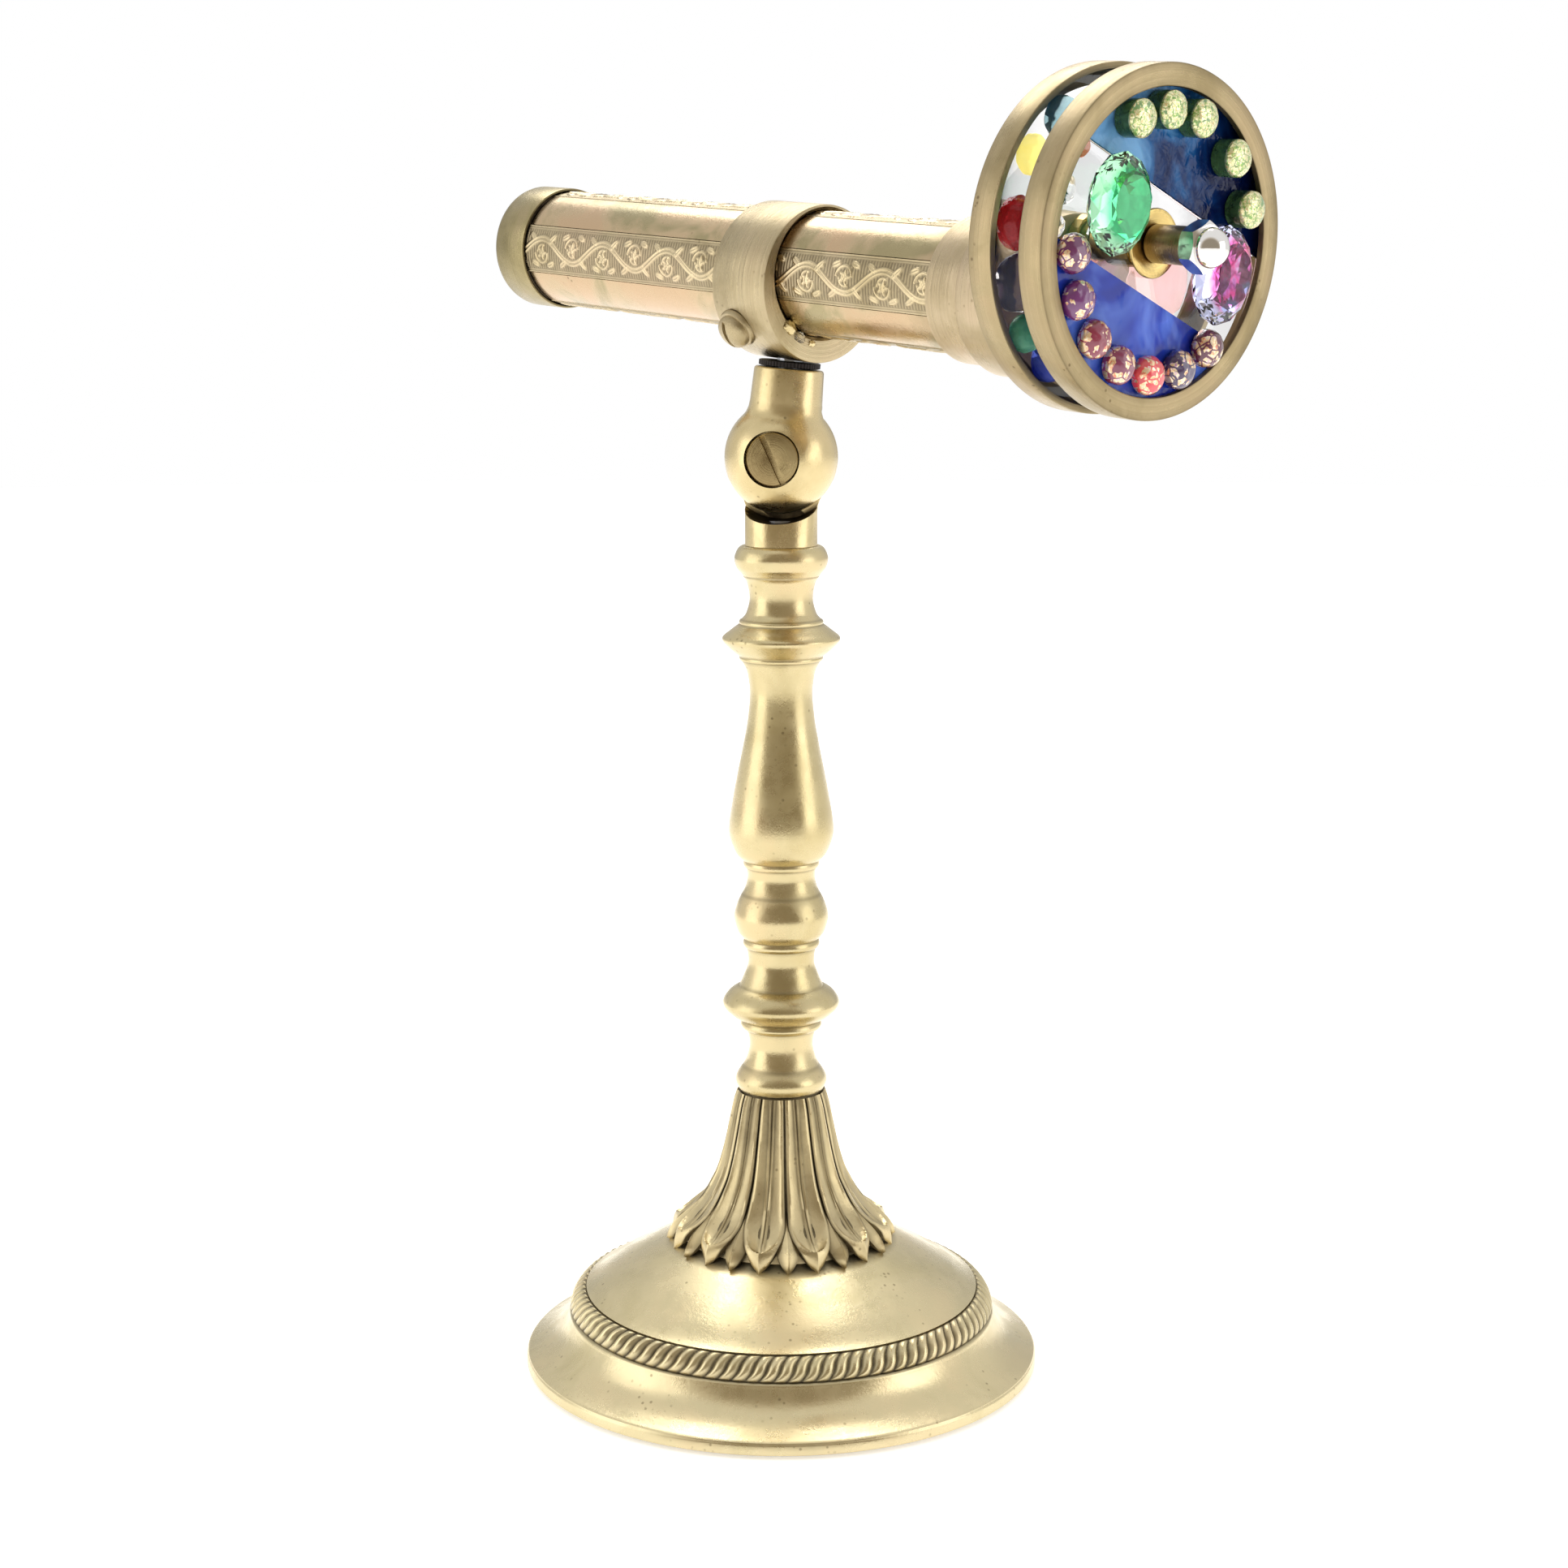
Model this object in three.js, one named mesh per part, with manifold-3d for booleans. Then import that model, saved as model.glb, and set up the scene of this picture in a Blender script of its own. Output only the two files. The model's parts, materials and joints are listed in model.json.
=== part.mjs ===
// Brass table kaleidoscope with two jewelled wheels.
//
// A turned column on a round foot carries a split-ball knuckle. The knuckle's neck holds a clamp
// ring, the ring holds the engraved barrel, and two wheels of coloured glass turn on an axle in
// front of it. Millimetres, +Z up, origin at the middle of the foot's underside, and the barrel
// points along +X from the eyepiece to the wheels.

import * as THREE from 'three';
import { mergeVertices } from 'three/addons/utils/BufferGeometryUtils.js';
import Module from 'manifold-3d';

const wasm = await Module();
wasm.setup();

// ---- driving dimensions ----------------------------------------------------------------------

const GAP = 0.3;                 // clearance between neighbouring pieces

// Stand
const FOOT_R = 75;
const PAD_R = 71;
const PAD_T = 1.6;
const ROD_R = 3.95;              // 5/16 inch tie rod
const ROD_BORE_R = ROD_R + GAP;
const ROD_BOTTOM = 20;
const ROD_TOP = 247;
const ROD_NUT_FLATS = 12.7;      // 1/2 inch across flats
const NUT_SEAT = 30;             // height of the face inside the foot that the washer bears on
const LEAF_TOP = 81.8;
const COLUMN_TOP = 240;

// Knuckle
const BALL_Z = 264.7;
const BALL_R = 15.9;
const SADDLE_R = 18.5;           // ball cutter that clears each arm round the other half ball
const SADDLE_SHIFT = 6.6;        // of the cutter, along the screw away from its own half
const POST_R = 10.2;
const NECK_TOP = 24.7;           // measured from the ball's centre along the neck
const LEAN = THREE.MathUtils.degToRad(5.3);
const LEAN_HEADING = THREE.MathUtils.degToRad(38);

// Head: x runs along the barrel, z up the neck, and the origin is the barrel's axis in the ring
const BARREL_HEIGHT = 51.2;      // from the ball's centre to the barrel's axis
const TUBE_R = 16.9;
const TUBE_BORE_R = 15.4;
const TUBE_REAR = -119.3;
const TUBE_FRONT = 95;
const CAP_REAR = -121.2;
const CAP_FRONT = -105.8;
const CAP_R = 17.95;
const EYE_HOLE_R = 6;
const STUD_R = 3.6;              // stud that the barrel swivels on
const RING_R = 21.46;
const RING_HALF = 11.13;
const RING_DROP = 2.71;          // the ring's outside is set lower than its bore
const RING_SCREW_ANGLE = THREE.MathUtils.degToRad(-140);
const RING_SCREW_X = -4;
const COLLAR_REAR = 70.5;
const COLLAR_STEP = 83.5;
const COLLAR_FRONT = 105;
const COLLAR_R = 19;
const COLLAR_CUP_R = 21;
const APERTURE_R = 10.5;
const WINDOW_T = 2.3;

// Wheels
const AXLE_Z = 15.07;
const AXLE_R = 3.17;             // 1/4 inch axle
const AXLE_BORE_R = AXLE_R + GAP;
const AXLE_REAR = 99.8;
const REAR_WHEEL_X = 111.72;
const FRONT_WHEEL_X = 128.2;
const WHEEL_HALF = 3.7;
const WHEEL_R = 42.36;
const OPENING_R = 36.72;
const RIM_WALL = 1.7;
const FLANGE_T = 1.6;
const BUSH_R = 5;
const BAND_HALF = 12.7;          // half the width of the clear band across the front wheel
const BAND_GLASS_FRONT = -0.6;   // from the wheel's middle plane
const BAND_ANGLE = THREE.MathUtils.degToRad(-19.5);
const BEAD_RING_R = 31.3;        // circle that the small beads stand on
const RED_BEAD_R = 4.9;
const ROD_BEAD_R = 4.7;
const JEWEL_X = 21;              // distance of each oval jewel from the axle
const JEWEL_TILT = THREE.MathUtils.degToRad(17);   // of its long axis from square to the band

// ---- materials -------------------------------------------------------------------------------

function metal(color, roughness) {
  return new THREE.MeshStandardMaterial({ color, roughness, metalness: 1 });
}

function plain(color, roughness) {
  return new THREE.MeshStandardMaterial({ color, roughness, metalness: 0 });
}

const BRASS = 0x9a7c3c;
const RIM_BRASS = 0xa1834a;
const STEEL = 0x8d8f92;
const GLASS = 0xf2f6f6;
const COPPERY = 0x8f6a3e;
const NICKEL = 0xc9c6bf;
const BLACKENED = 0x26231f;

// ---- geometry helpers ------------------------------------------------------------------------

// Keeps the corners only, welds them, drops collapsed triangles and turns all faces outwards.
function weld(geometry) {
  const bare = geometry.clone();
  bare.deleteAttribute('normal');
  bare.deleteAttribute('uv');
  const merged = mergeVertices(bare, 1e-4);
  const position = merged.getAttribute('position');
  const triangles = [];
  for (let i = 0; i < merged.index.count; i += 3) {
    const corners = [0, 1, 2].map((k) => merged.index.getX(i + k));
    if (new Set(corners).size === 3) triangles.push(corners);
  }
  const [a, b, c] = [new THREE.Vector3(), new THREE.Vector3(), new THREE.Vector3()];
  let volume = 0;
  for (const corners of triangles) {
    a.fromBufferAttribute(position, corners[0]);
    b.fromBufferAttribute(position, corners[1]);
    c.fromBufferAttribute(position, corners[2]);
    volume += a.dot(b.cross(c));
  }
  if (volume < 0) triangles.forEach((corners) => corners.reverse());
  merged.setIndex(triangles.flat());
  return merged;
}

function toSolid(geometry) {
  const welded = weld(geometry);
  const vertProperties = new Float32Array(welded.getAttribute('position').array);
  const triVerts = new Uint32Array(welded.index.array);
  return new wasm.Manifold(new wasm.Mesh({ numProp: 3, vertProperties, triVerts }));
}

function toGeometry(solid) {
  const mesh = solid.getMesh();
  const geometry = new THREE.BufferGeometry();
  geometry.setAttribute('position', new THREE.BufferAttribute(mesh.vertProperties, 3));
  geometry.setIndex(new THREE.BufferAttribute(mesh.triVerts, 1));
  return geometry;
}

function cut(geometry, ...tools) {
  return toGeometry(tools.reduce((solid, tool) => solid.subtract(toSolid(tool)), toSolid(geometry)));
}

function join(first, ...others) {
  return toGeometry(others.reduce((solid, other) => solid.add(toSolid(other)), toSolid(first)));
}

function common(first, second) {
  return toGeometry(toSolid(first).intersect(toSolid(second)));
}

// A turned piece. The outline is a list of [distance along the axis, radius].
function turned(outline, segments = 32) {
  const points = outline.map(([along, radius]) => new THREE.Vector2(radius, along));
  return weld(new THREE.LatheGeometry(points, segments));
}

const alongZ = (outline, segments) => turned(outline, segments).rotateX(Math.PI / 2);
const alongX = (outline, segments) => turned(outline, segments).rotateZ(-Math.PI / 2);

const rodOutline = (from, to, radius) => [[from, 0], [from, radius], [to, radius], [to, 0]];

function tubeOutline(from, to, outer, inner) {
  return [[from, inner], [from, outer], [to, outer], [to, inner], [from, inner]];
}

// Evenly spaced points on the smooth curve through the given [distance, radius] places.
function curve(places, samples = 4) {
  const spline = new THREE.SplineCurve(places.map((place) => new THREE.Vector2(...place)));
  return spline.getPoints(samples).map(({ x, y }) => [x, y]);
}

// A domed piece: a straight wall for part of its height, and then a quarter of an ellipse.
function domeOutline(from, height, radius, wall, steps = 4) {
  const outline = [[from, 0], [from, radius]];
  for (let step = 0; step <= steps; step += 1) {
    const angle = (step / steps) * (Math.PI / 2);
    const along = from + height * (wall + (1 - wall) * Math.sin(angle));
    outline.push([along, step < steps ? radius * Math.cos(angle) : 0]);
  }
  return outline;
}

// A piece of plate: the shape is drawn in the local y, z plane and thickened along x.
function plateAlongX(shape, from, to, curveSegments = 12) {
  const options = { depth: to - from, bevelEnabled: false, curveSegments };
  const geometry = new THREE.ExtrudeGeometry(shape, options);
  const basis = new THREE.Matrix4().makeBasis(
    new THREE.Vector3(0, 1, 0), new THREE.Vector3(0, 0, 1), new THREE.Vector3(1, 0, 0));
  return weld(geometry.applyMatrix4(basis).translate(from, 0, 0));
}

function box(from, to) {
  const size = to.map((value, i) => value - from[i]);
  const middle = to.map((value, i) => (value + from[i]) / 2);
  return weld(new THREE.BoxGeometry(...size).translate(...middle));
}

function ball(radius, segments = 24) {
  return weld(new THREE.SphereGeometry(radius, segments, segments / 2));
}

function piece(group, name, geometry, material) {
  const mesh = new THREE.Mesh(geometry, material);
  mesh.name = name;
  group.add(mesh);
  return mesh;
}

// ---- foot, leaf collar and column ------------------------------------------------------------

// Mouldings of the column from the bottom up: the places that each one curves through.
const MOULDINGS = [
  [[82.2, 12.3], [84.9, 13.25], [88.9, 11.2]],
  [[89.3, 11], [95.5, 9.2], [99.9, 9.9]],
  [[100.1, 10.9], [101.4, 11.8], [102.7, 11.3]],
  [[102.9, 11.5], [104.4, 14.3], [107.9, 16.9], [110.8, 15.3], [112.9, 12.1]],
  [[113.2, 12], [120.2, 9.5], [124.1, 10]],
  [[126.7, 10.7], [129.2, 12.6], [133.3, 13.6], [137.4, 12.6], [139.8, 11.4]],
  [[140.2, 11.2], [145.2, 9.7], [147.7, 10.1]],
  [[149.8, 11], [152.3, 13.2], [158.5, 15.05], [168.5, 13.7], [183.5, 10.8], [198, 8.9],
    [203.5, 9.5], [207.4, 11.2]],
  [[208.8, 12], [211.2, 14.8], [213.7, 16.75], [216, 14.4], [217.8, 12]],
  [[219.2, 11.3], [225.2, 8.95], [231.2, 10.7]],
  [[231.5, 10.8], [234, 12.7], [236.3, 13.25], [238.3, 12.7], [COLUMN_TOP, 11.1]],
];

// Foot: a dome, a sloping band for the rope moulding, and a hollow skirt. Listed anticlockwise.
const DOME = [[42, 15], [38.4, 29], [30.2, 44.7], [22.8, 57.5]];
const SKIRT = [[15, 62.5], [9.4, 66.1], [7.2, 69], [4.4, 74.4]];
const FOOT_OUTLINE = [
  [42, ROD_BORE_R], ...curve(DOME, 7), [16.3, 61.8], ...curve(SKIRT, 5), [3.4, FOOT_R],
  [1, FOOT_R], [1, PAD_R + 0.4], [PAD_T + GAP, PAD_R + 0.4], [PAD_T + GAP, 67], [4.5, 67],
  [11, 60], [16, 55], [25, 42], [32, 28], [36, 14], [NUT_SEAT, 12], [NUT_SEAT, ROD_BORE_R],
  [42, ROD_BORE_R],
];

// Leaf collar: a hollow trumpet of leaves that rests on the dome. Listed anticlockwise.
const LEAVES = [[LEAF_TOP, 12.8], [72, 15.2], [58, 18.8], [47.3, 25.4], [41.6, 31.4], [37.2, 34.8]];
const LEAF_OUTLINE = [
  [LEAF_TOP, ROD_BORE_R], ...curve(LEAVES, 10), [37.2, 33.2], [39.4, 28.6], [41.4, 24],
  [46, 20], [54, 16], [70, 12], [76, 10], [76, ROD_BORE_R], [LEAF_TOP, ROD_BORE_R],
];

function buildStand() {
  const stand = new THREE.Group();
  const brass = metal(BRASS, 0.38);
  piece(stand, 'felt_pad', alongZ(rodOutline(0, PAD_T, PAD_R), 32), plain(0x1f3a2a, 0.95));
  piece(stand, 'base_foot', alongZ(FOOT_OUTLINE, 32), brass);
  piece(stand, 'leaf_collar', alongZ(LEAF_OUTLINE, 24), metal(0x8a6c34, 0.42));

  const outside = MOULDINGS.flatMap((places) => curve(places, places.length > 5 ? 10 : 4));
  const bottom = outside[0][0];
  const column = [[bottom, ROD_BORE_R], ...outside, [COLUMN_TOP, ROD_BORE_R],
    [bottom, ROD_BORE_R]];
  piece(stand, 'column', alongZ(column, 20), brass);

  piece(stand, 'tie_rod', alongZ(rodOutline(ROD_BOTTOM, ROD_TOP, ROD_R), 16), metal(STEEL, 0.35));
  const washerTop = NUT_SEAT - GAP;
  const washerBottom = washerTop - 1.5;
  const washer = tubeOutline(washerBottom, washerTop, 9, ROD_BORE_R);
  piece(stand, 'tie_rod_washer', alongZ(washer, 16), metal(STEEL, 0.4));
  const nutTop = washerBottom - GAP;
  const hexagon = alongZ(rodOutline(nutTop - 5.6, nutTop, ROD_NUT_FLATS / Math.sqrt(3)), 6);
  const thread = alongZ(rodOutline(nutTop - 7, nutTop + 1, ROD_BORE_R), 16);
  piece(stand, 'tie_rod_nut', cut(hexagon, thread), metal(STEEL, 0.4));
  return stand;
}

// ---- knuckle ---------------------------------------------------------------------------------

const NECK = new THREE.Vector3(
  Math.sin(LEAN) * Math.cos(LEAN_HEADING), Math.sin(LEAN) * Math.sin(LEAN_HEADING),
  Math.cos(LEAN));
const SCREW_HEADING = LEAN_HEADING - Math.PI / 2;

const KNUCKLE_BORE_R = 3.3;
const COUNTERBORE_R = 7.7;
const COUNTERBORE_FLOOR = 7.9;
const SPRING_WASHER_FRONT = 9.2;
const STUD_BOTTOM = 16.5;        // measured from the ball's centre along the neck

// In the knuckle's frame x runs along the screw towards its head and z along that arm.
// A ball cutter hollows the arm where the other half ball turns past it.
function halfBall(arm, side) {
  const far = 40;
  const slit = GAP / 2;
  const otherHalf = side > 0
    ? box([-far, -far, -far], [slit, far, far])
    : box([-slit, -far, -far], [far, far, far]);
  const cutter = ball(SADDLE_R).translate(-side * SADDLE_SHIFT, 0, 0);
  const half = cut(ball(BALL_R), otherHalf);
  return join(half, cut(arm, common(cutter, otherHalf)));
}

function buildKnuckleLower() {
  const floor = COLUMN_TOP + GAP - BALL_Z;
  const post = alongZ([[floor, 0], [floor, POST_R], [-6, POST_R], [-6, 0]], 24);
  const rodHole = alongZ(rodOutline(floor - 1, ROD_TOP + GAP - BALL_Z, ROD_BORE_R), 16);
  const screwHole = alongX(rodOutline(-12, 1, KNUCKLE_BORE_R), 16);
  const group = new THREE.Group();
  group.position.z = BALL_Z;
  group.rotation.z = SCREW_HEADING;
  piece(group, 'knuckle_lower', cut(halfBall(post, -1), rodHole, screwHole), metal(BRASS, 0.36));
  return group;
}

function buildKnuckleUpper() {
  const neckOutline = [[6, 0], [6, 10.2], [NECK_TOP - 0.6, 9.6], [NECK_TOP, 9.2], [NECK_TOP, 0]];
  const neck = alongZ(neckOutline, 24);
  const socket = alongZ(rodOutline(STUD_BOTTOM - 0.5, NECK_TOP + 1, STUD_R + GAP), 16);
  const shankHole = alongX(rodOutline(-1, COUNTERBORE_FLOOR + 1, KNUCKLE_BORE_R), 16);
  const counterbore = alongX(rodOutline(COUNTERBORE_FLOOR, 20, COUNTERBORE_R), 24);
  const upper = cut(halfBall(neck, 1), socket, shankHole, counterbore);

  const washer = tubeOutline(COUNTERBORE_FLOOR + GAP, SPRING_WASHER_FRONT, 6.5, KNUCKLE_BORE_R);
  const head = rodOutline(SPRING_WASHER_FRONT + GAP, 13.3, COUNTERBORE_R - GAP);
  const shank = alongX(rodOutline(-11.5, 10, 3), 16);
  const slot = box([12, -10, -0.8], [14, 10, 0.8]).rotateX(THREE.MathUtils.degToRad(-60));
  const screw = cut(join(alongX(head, 24), shank), slot);

  const group = new THREE.Group();
  group.position.z = BALL_Z;
  const across = new THREE.Vector3(Math.cos(SCREW_HEADING), Math.sin(SCREW_HEADING), 0);
  const third = new THREE.Vector3().crossVectors(NECK, across);
  group.quaternion.setFromRotationMatrix(new THREE.Matrix4().makeBasis(across, third, NECK));
  piece(group, 'knuckle_upper', upper, metal(BRASS, 0.36));
  piece(group, 'knuckle_spring_washer', alongX(washer, 16), metal(STEEL, 0.4));
  piece(group, 'knuckle_screw', screw, metal(BRASS, 0.34));
  return group;
}

// ---- clamp ring ------------------------------------------------------------------------------

const LOCK_RING_FROM = NECK_TOP + GAP - BARREL_HEIGHT;
const RING_BOTTOM = -RING_DROP - RING_R;
const STUD_TOP = -19;
const SPOT_FACE = 20.9;          // of the clamp screw, measured from the ring's centre
const RING_SCREW_HOLE_R = 1.9;
const RING_SCREW_BACK = 22.6;

function buildClampRing(head) {
  const brass = metal(0xa98545, 0.34);
  const outside = alongX(rodOutline(-RING_HALF, RING_HALF, RING_R), 36).translate(0, 0, -RING_DROP);
  const bore = alongX(rodOutline(-20, 20, TUBE_R + GAP), 36);
  const studHole = alongZ(rodOutline(RING_BOTTOM - 2, STUD_TOP + GAP, STUD_R + GAP), 16);

  // The clamp screw stands radially on a spot face low on the ring's side.
  const radial = (outline, segments) => alongZ(outline, segments)
    .rotateX(RING_SCREW_ANGLE - Math.PI / 2)
    .translate(RING_SCREW_X, 0, -RING_DROP);
  const spotFace = radial(rodOutline(SPOT_FACE, 26, 6.1), 24);
  const screwHole = radial(rodOutline(12, 22, RING_SCREW_HOLE_R), 12);
  piece(head, 'barrel_ring', cut(outside, bore, studHole, spotFace, screwHole), brass);

  const washerFront = RING_SCREW_BACK - GAP;
  const washer = radial(tubeOutline(SPOT_FACE + GAP, washerFront, 5.8, RING_SCREW_HOLE_R), 16);
  piece(head, 'ring_screw_washer', washer, metal(BRASS, 0.36));
  const dome = radial(domeOutline(RING_SCREW_BACK, 3.7, 4.9, 0.22), 14);
  const shank = radial(rodOutline(18.6, 23, RING_SCREW_HOLE_R - GAP), 12);
  const groove = weld(new THREE.BoxGeometry(1.1, 12, 2.2).translate(0, 0, 26))
    .rotateX(RING_SCREW_ANGLE - Math.PI / 2)
    .translate(RING_SCREW_X, 0, -RING_DROP);
  piece(head, 'ring_screw', cut(join(dome, shank), groove), brass);

  const stud = alongZ(rodOutline(STUD_BOTTOM - BARREL_HEIGHT, STUD_TOP, STUD_R), 16);
  piece(head, 'ring_stud', stud, metal(STEEL, 0.35));
  const lockRing = tubeOutline(LOCK_RING_FROM, RING_BOTTOM - GAP, 8.6, STUD_R + GAP);
  piece(head, 'lock_ring', alongZ(lockRing, 24), metal(BLACKENED, 0.5));
}

// ---- barrel ----------------------------------------------------------------------------------

const MIRROR_WIDTH = 22;
const MIRROR_T = 2;
const MIRROR_REAR = -115.8;
const MIRROR_FRONT = 94.6;
const MIRROR_HALF_ANGLE = THREE.MathUtils.degToRad(18);
const MIRROR_APEX_Z = -11.6;

function buildMirrors(head) {
  const glass = metal(0xdfe3e6, 0.05);
  for (const [name, side] of [['mirror_left', 1], ['mirror_right', -1]]) {
    const strip = box([MIRROR_REAR, 0, 0.5], [MIRROR_FRONT, MIRROR_T, MIRROR_WIDTH - GAP])
      .rotateX(-MIRROR_HALF_ANGLE)
      .translate(0, 0, MIRROR_APEX_Z);
    if (side < 0) strip.scale(1, -1, 1);
    piece(head, name, weld(strip), glass);
  }
  const top = MIRROR_APEX_Z + MIRROR_WIDTH * Math.cos(MIRROR_HALF_ANGLE);
  const half = MIRROR_WIDTH * Math.sin(MIRROR_HALF_ANGLE) - 0.2;
  const blank = box([MIRROR_REAR, -half, top + GAP], [MIRROR_FRONT, half, top + GAP + 1.4]);
  piece(head, 'mirror_blank', blank, plain(0x101010, 0.6));

  const packing = new THREE.Shape().absarc(0, 0, TUBE_BORE_R - GAP, 0, Math.PI * 2);
  const hole = new THREE.Path();
  // the hole clears both mirrors and the blank: half of its corners, as [y, z]
  const corners = [[2.6, MIRROR_APEX_Z - 0.6], [half + 3, top], [half + 0.6, top + 2.4]];
  const mirrored = corners.map(([y, z]) => [-y, z]).reverse();
  [...corners, ...mirrored].forEach(([y, z], i) => (i ? hole.lineTo(y, z) : hole.moveTo(y, z)));
  hole.closePath();
  packing.holes.push(hole);
  piece(head, 'mirror_packing', plateAlongX(packing, MIRROR_REAR, MIRROR_FRONT), plain(0x3a3a3a, 0.9));
}

function buildBarrel(head) {
  const tube = tubeOutline(TUBE_REAR, TUBE_FRONT, TUBE_R, TUBE_BORE_R);
  piece(head, 'barrel_tube', alongX(tube, 36), metal(COPPERY, 0.36));

  const capWall = TUBE_REAR - GAP;
  const slipR = TUBE_R + GAP;
  const cap = [[CAP_REAR, EYE_HOLE_R], [CAP_REAR, CAP_R - 1.35], [CAP_REAR + 1.4, CAP_R],
    [CAP_FRONT, CAP_R], [CAP_FRONT, slipR], [capWall, slipR], [capWall, EYE_HOLE_R],
    [CAP_REAR, EYE_HOLE_R]];
  piece(head, 'eyepiece_cap', alongX(cap, 28), metal(BRASS, 0.36));
  const lensRear = TUBE_REAR + 0.4;
  const lens = [[lensRear, 0], [lensRear, TUBE_BORE_R - 0.4], [lensRear + 1.3, TUBE_BORE_R - 0.4],
    [lensRear + 2.5, 8], [lensRear + 2.8, 0]];
  piece(head, 'eyepiece_lens', alongX(lens, 20), plain(GLASS, 0.05));

  const windowFront = TUBE_FRONT + GAP + WINDOW_T;
  piece(head, 'end_window', alongX(rodOutline(TUBE_FRONT + GAP, windowFront, TUBE_R), 24),
    plain(GLASS, 0.05));
  const wall = windowFront + GAP;
  const collar = [[COLLAR_REAR, slipR], [COLLAR_REAR, COLLAR_R], [COLLAR_STEP, COLLAR_R],
    [COLLAR_STEP, COLLAR_CUP_R], [COLLAR_FRONT, COLLAR_CUP_R], [COLLAR_FRONT, APERTURE_R],
    [wall, APERTURE_R], [wall, slipR], [COLLAR_REAR, slipR]];
  const axleHole = alongX(rodOutline(AXLE_REAR - GAP, COLLAR_FRONT + 2, AXLE_BORE_R), 16)
    .translate(0, 0, AXLE_Z);
  piece(head, 'front_collar', cut(alongX(collar, 32), axleHole), metal(BRASS, 0.36));
}

// ---- axle and its spacers --------------------------------------------------------------------

const WASHER_FRONT = FRONT_WHEEL_X + 0.9;
const SLEEVE_FRONT = FRONT_WHEEL_X + 12.7;
const NUT_REAR = SLEEVE_FRONT + GAP;
const NUT_FLATS = 11.1;          // 7/16 inch across flats
const SPACER_R = 6;

function buildAxle(head) {
  const axleGroup = new THREE.Group();
  axleGroup.position.z = AXLE_Z;
  head.add(axleGroup);
  const brass = metal(BRASS, 0.36);
  const spacer = (from, to, radius) => alongX(tubeOutline(from, to, radius, AXLE_BORE_R), 16);

  const axle = alongX(rodOutline(AXLE_REAR, NUT_REAR + 5, AXLE_R), 16);
  piece(axleGroup, 'axle', axle, metal(STEEL, 0.35));
  const rearSpacer = spacer(COLLAR_FRONT + GAP, REAR_WHEEL_X - WHEEL_HALF - GAP, SPACER_R);
  piece(axleGroup, 'rear_spacer', rearSpacer, brass);
  const between = [REAR_WHEEL_X + WHEEL_HALF + GAP, FRONT_WHEEL_X - WHEEL_HALF - GAP];
  piece(axleGroup, 'middle_spacer', spacer(...between, SPACER_R), brass);
  piece(axleGroup, 'hub_washer', spacer(WASHER_FRONT - 1, WASHER_FRONT, 8.4), brass);
  piece(axleGroup, 'hub_sleeve', spacer(WASHER_FRONT + GAP, SLEEVE_FRONT, 4.65), brass);

  const corner = NUT_FLATS / Math.sqrt(3);
  const hexagon = alongX(rodOutline(NUT_REAR, NUT_REAR + 4.6, corner), 6);
  const domeR = 4.9;
  const dome = domeOutline(NUT_REAR + 4, domeR + 0.7, domeR, 0.7 / (domeR + 0.7));
  const thread = alongX(rodOutline(NUT_REAR - 1, NUT_REAR + 6, AXLE_BORE_R), 16);
  const nut = cut(join(hexagon, alongX(dome, 16)), thread);
  piece(axleGroup, 'acorn_nut', nut, metal(NICKEL, 0.12));
}

// ---- wheels ----------------------------------------------------------------------------------

const GLASS_R = WHEEL_R - RIM_WALL - GAP;
const PLATE_T = 1.3;

// Rim of L section. faceSide is +1 when the flange is on the front face, -1 at the back.
function rimOutline(faceSide) {
  const wallR = WHEEL_R - RIM_WALL;
  const face = WHEEL_HALF * faceSide;
  const back = face - FLANGE_T * faceSide;
  return [[-face, wallR], [-face, WHEEL_R - 0.3], [-face + 0.3 * faceSide, WHEEL_R],
    [face - 0.3 * faceSide, WHEEL_R], [face, WHEEL_R - 0.3], [face, OPENING_R],
    [back, OPENING_R], [back, wallR], [-face, wallR]];
}

function hubHole() {
  return new THREE.Path().absarc(0, 0, BUSH_R + GAP, 0, Math.PI * 2);
}

// Plate of glass on one side of a straight cut at the given distance from the axle.
function segmentShape(distance) {
  const half = Math.acos(distance / GLASS_R);
  const shape = new THREE.Shape();
  shape.absarc(0, 0, GLASS_R, Math.PI / 2 - half, Math.PI / 2 + half);
  shape.closePath();
  return shape;
}

function bandShape() {
  const half = Math.asin((BAND_HALF - GAP) / GLASS_R);
  const shape = new THREE.Shape();
  shape.absarc(0, 0, GLASS_R, -half, half);
  shape.absarc(0, 0, GLASS_R, Math.PI - half, Math.PI + half);
  shape.closePath();
  shape.holes.push(hubHole());
  return shape;
}

// Rod bead: a short cylinder with a domed front end. A cabochon is lower and mostly dome.
const rodBead = (from, height, radius) => alongX(domeOutline(from, height, radius, 0.7, 3), 12);
const cabochon = (from, height, radius) => alongX(domeOutline(from, height, radius, 0.3, 3), 12);

// Faceted oval jewel: pavilion, girdle, crown and flat table.
function ovalJewel(from) {
  const outline = [[from, 0], [from, 5], [from + 5.6, 12.2], [from + 6.8, 12.2],
    [from + 10.4, 7.4], [from + 10.4, 0]];
  return alongX(outline, 16).scale(1, 0.85, 1).rotateX(JEWEL_TILT);
}

function polar(geometry, radius, degrees) {
  const angle = THREE.MathUtils.degToRad(degrees);
  return geometry.translate(0, radius * Math.cos(angle), radius * Math.sin(angle));
}

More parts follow.
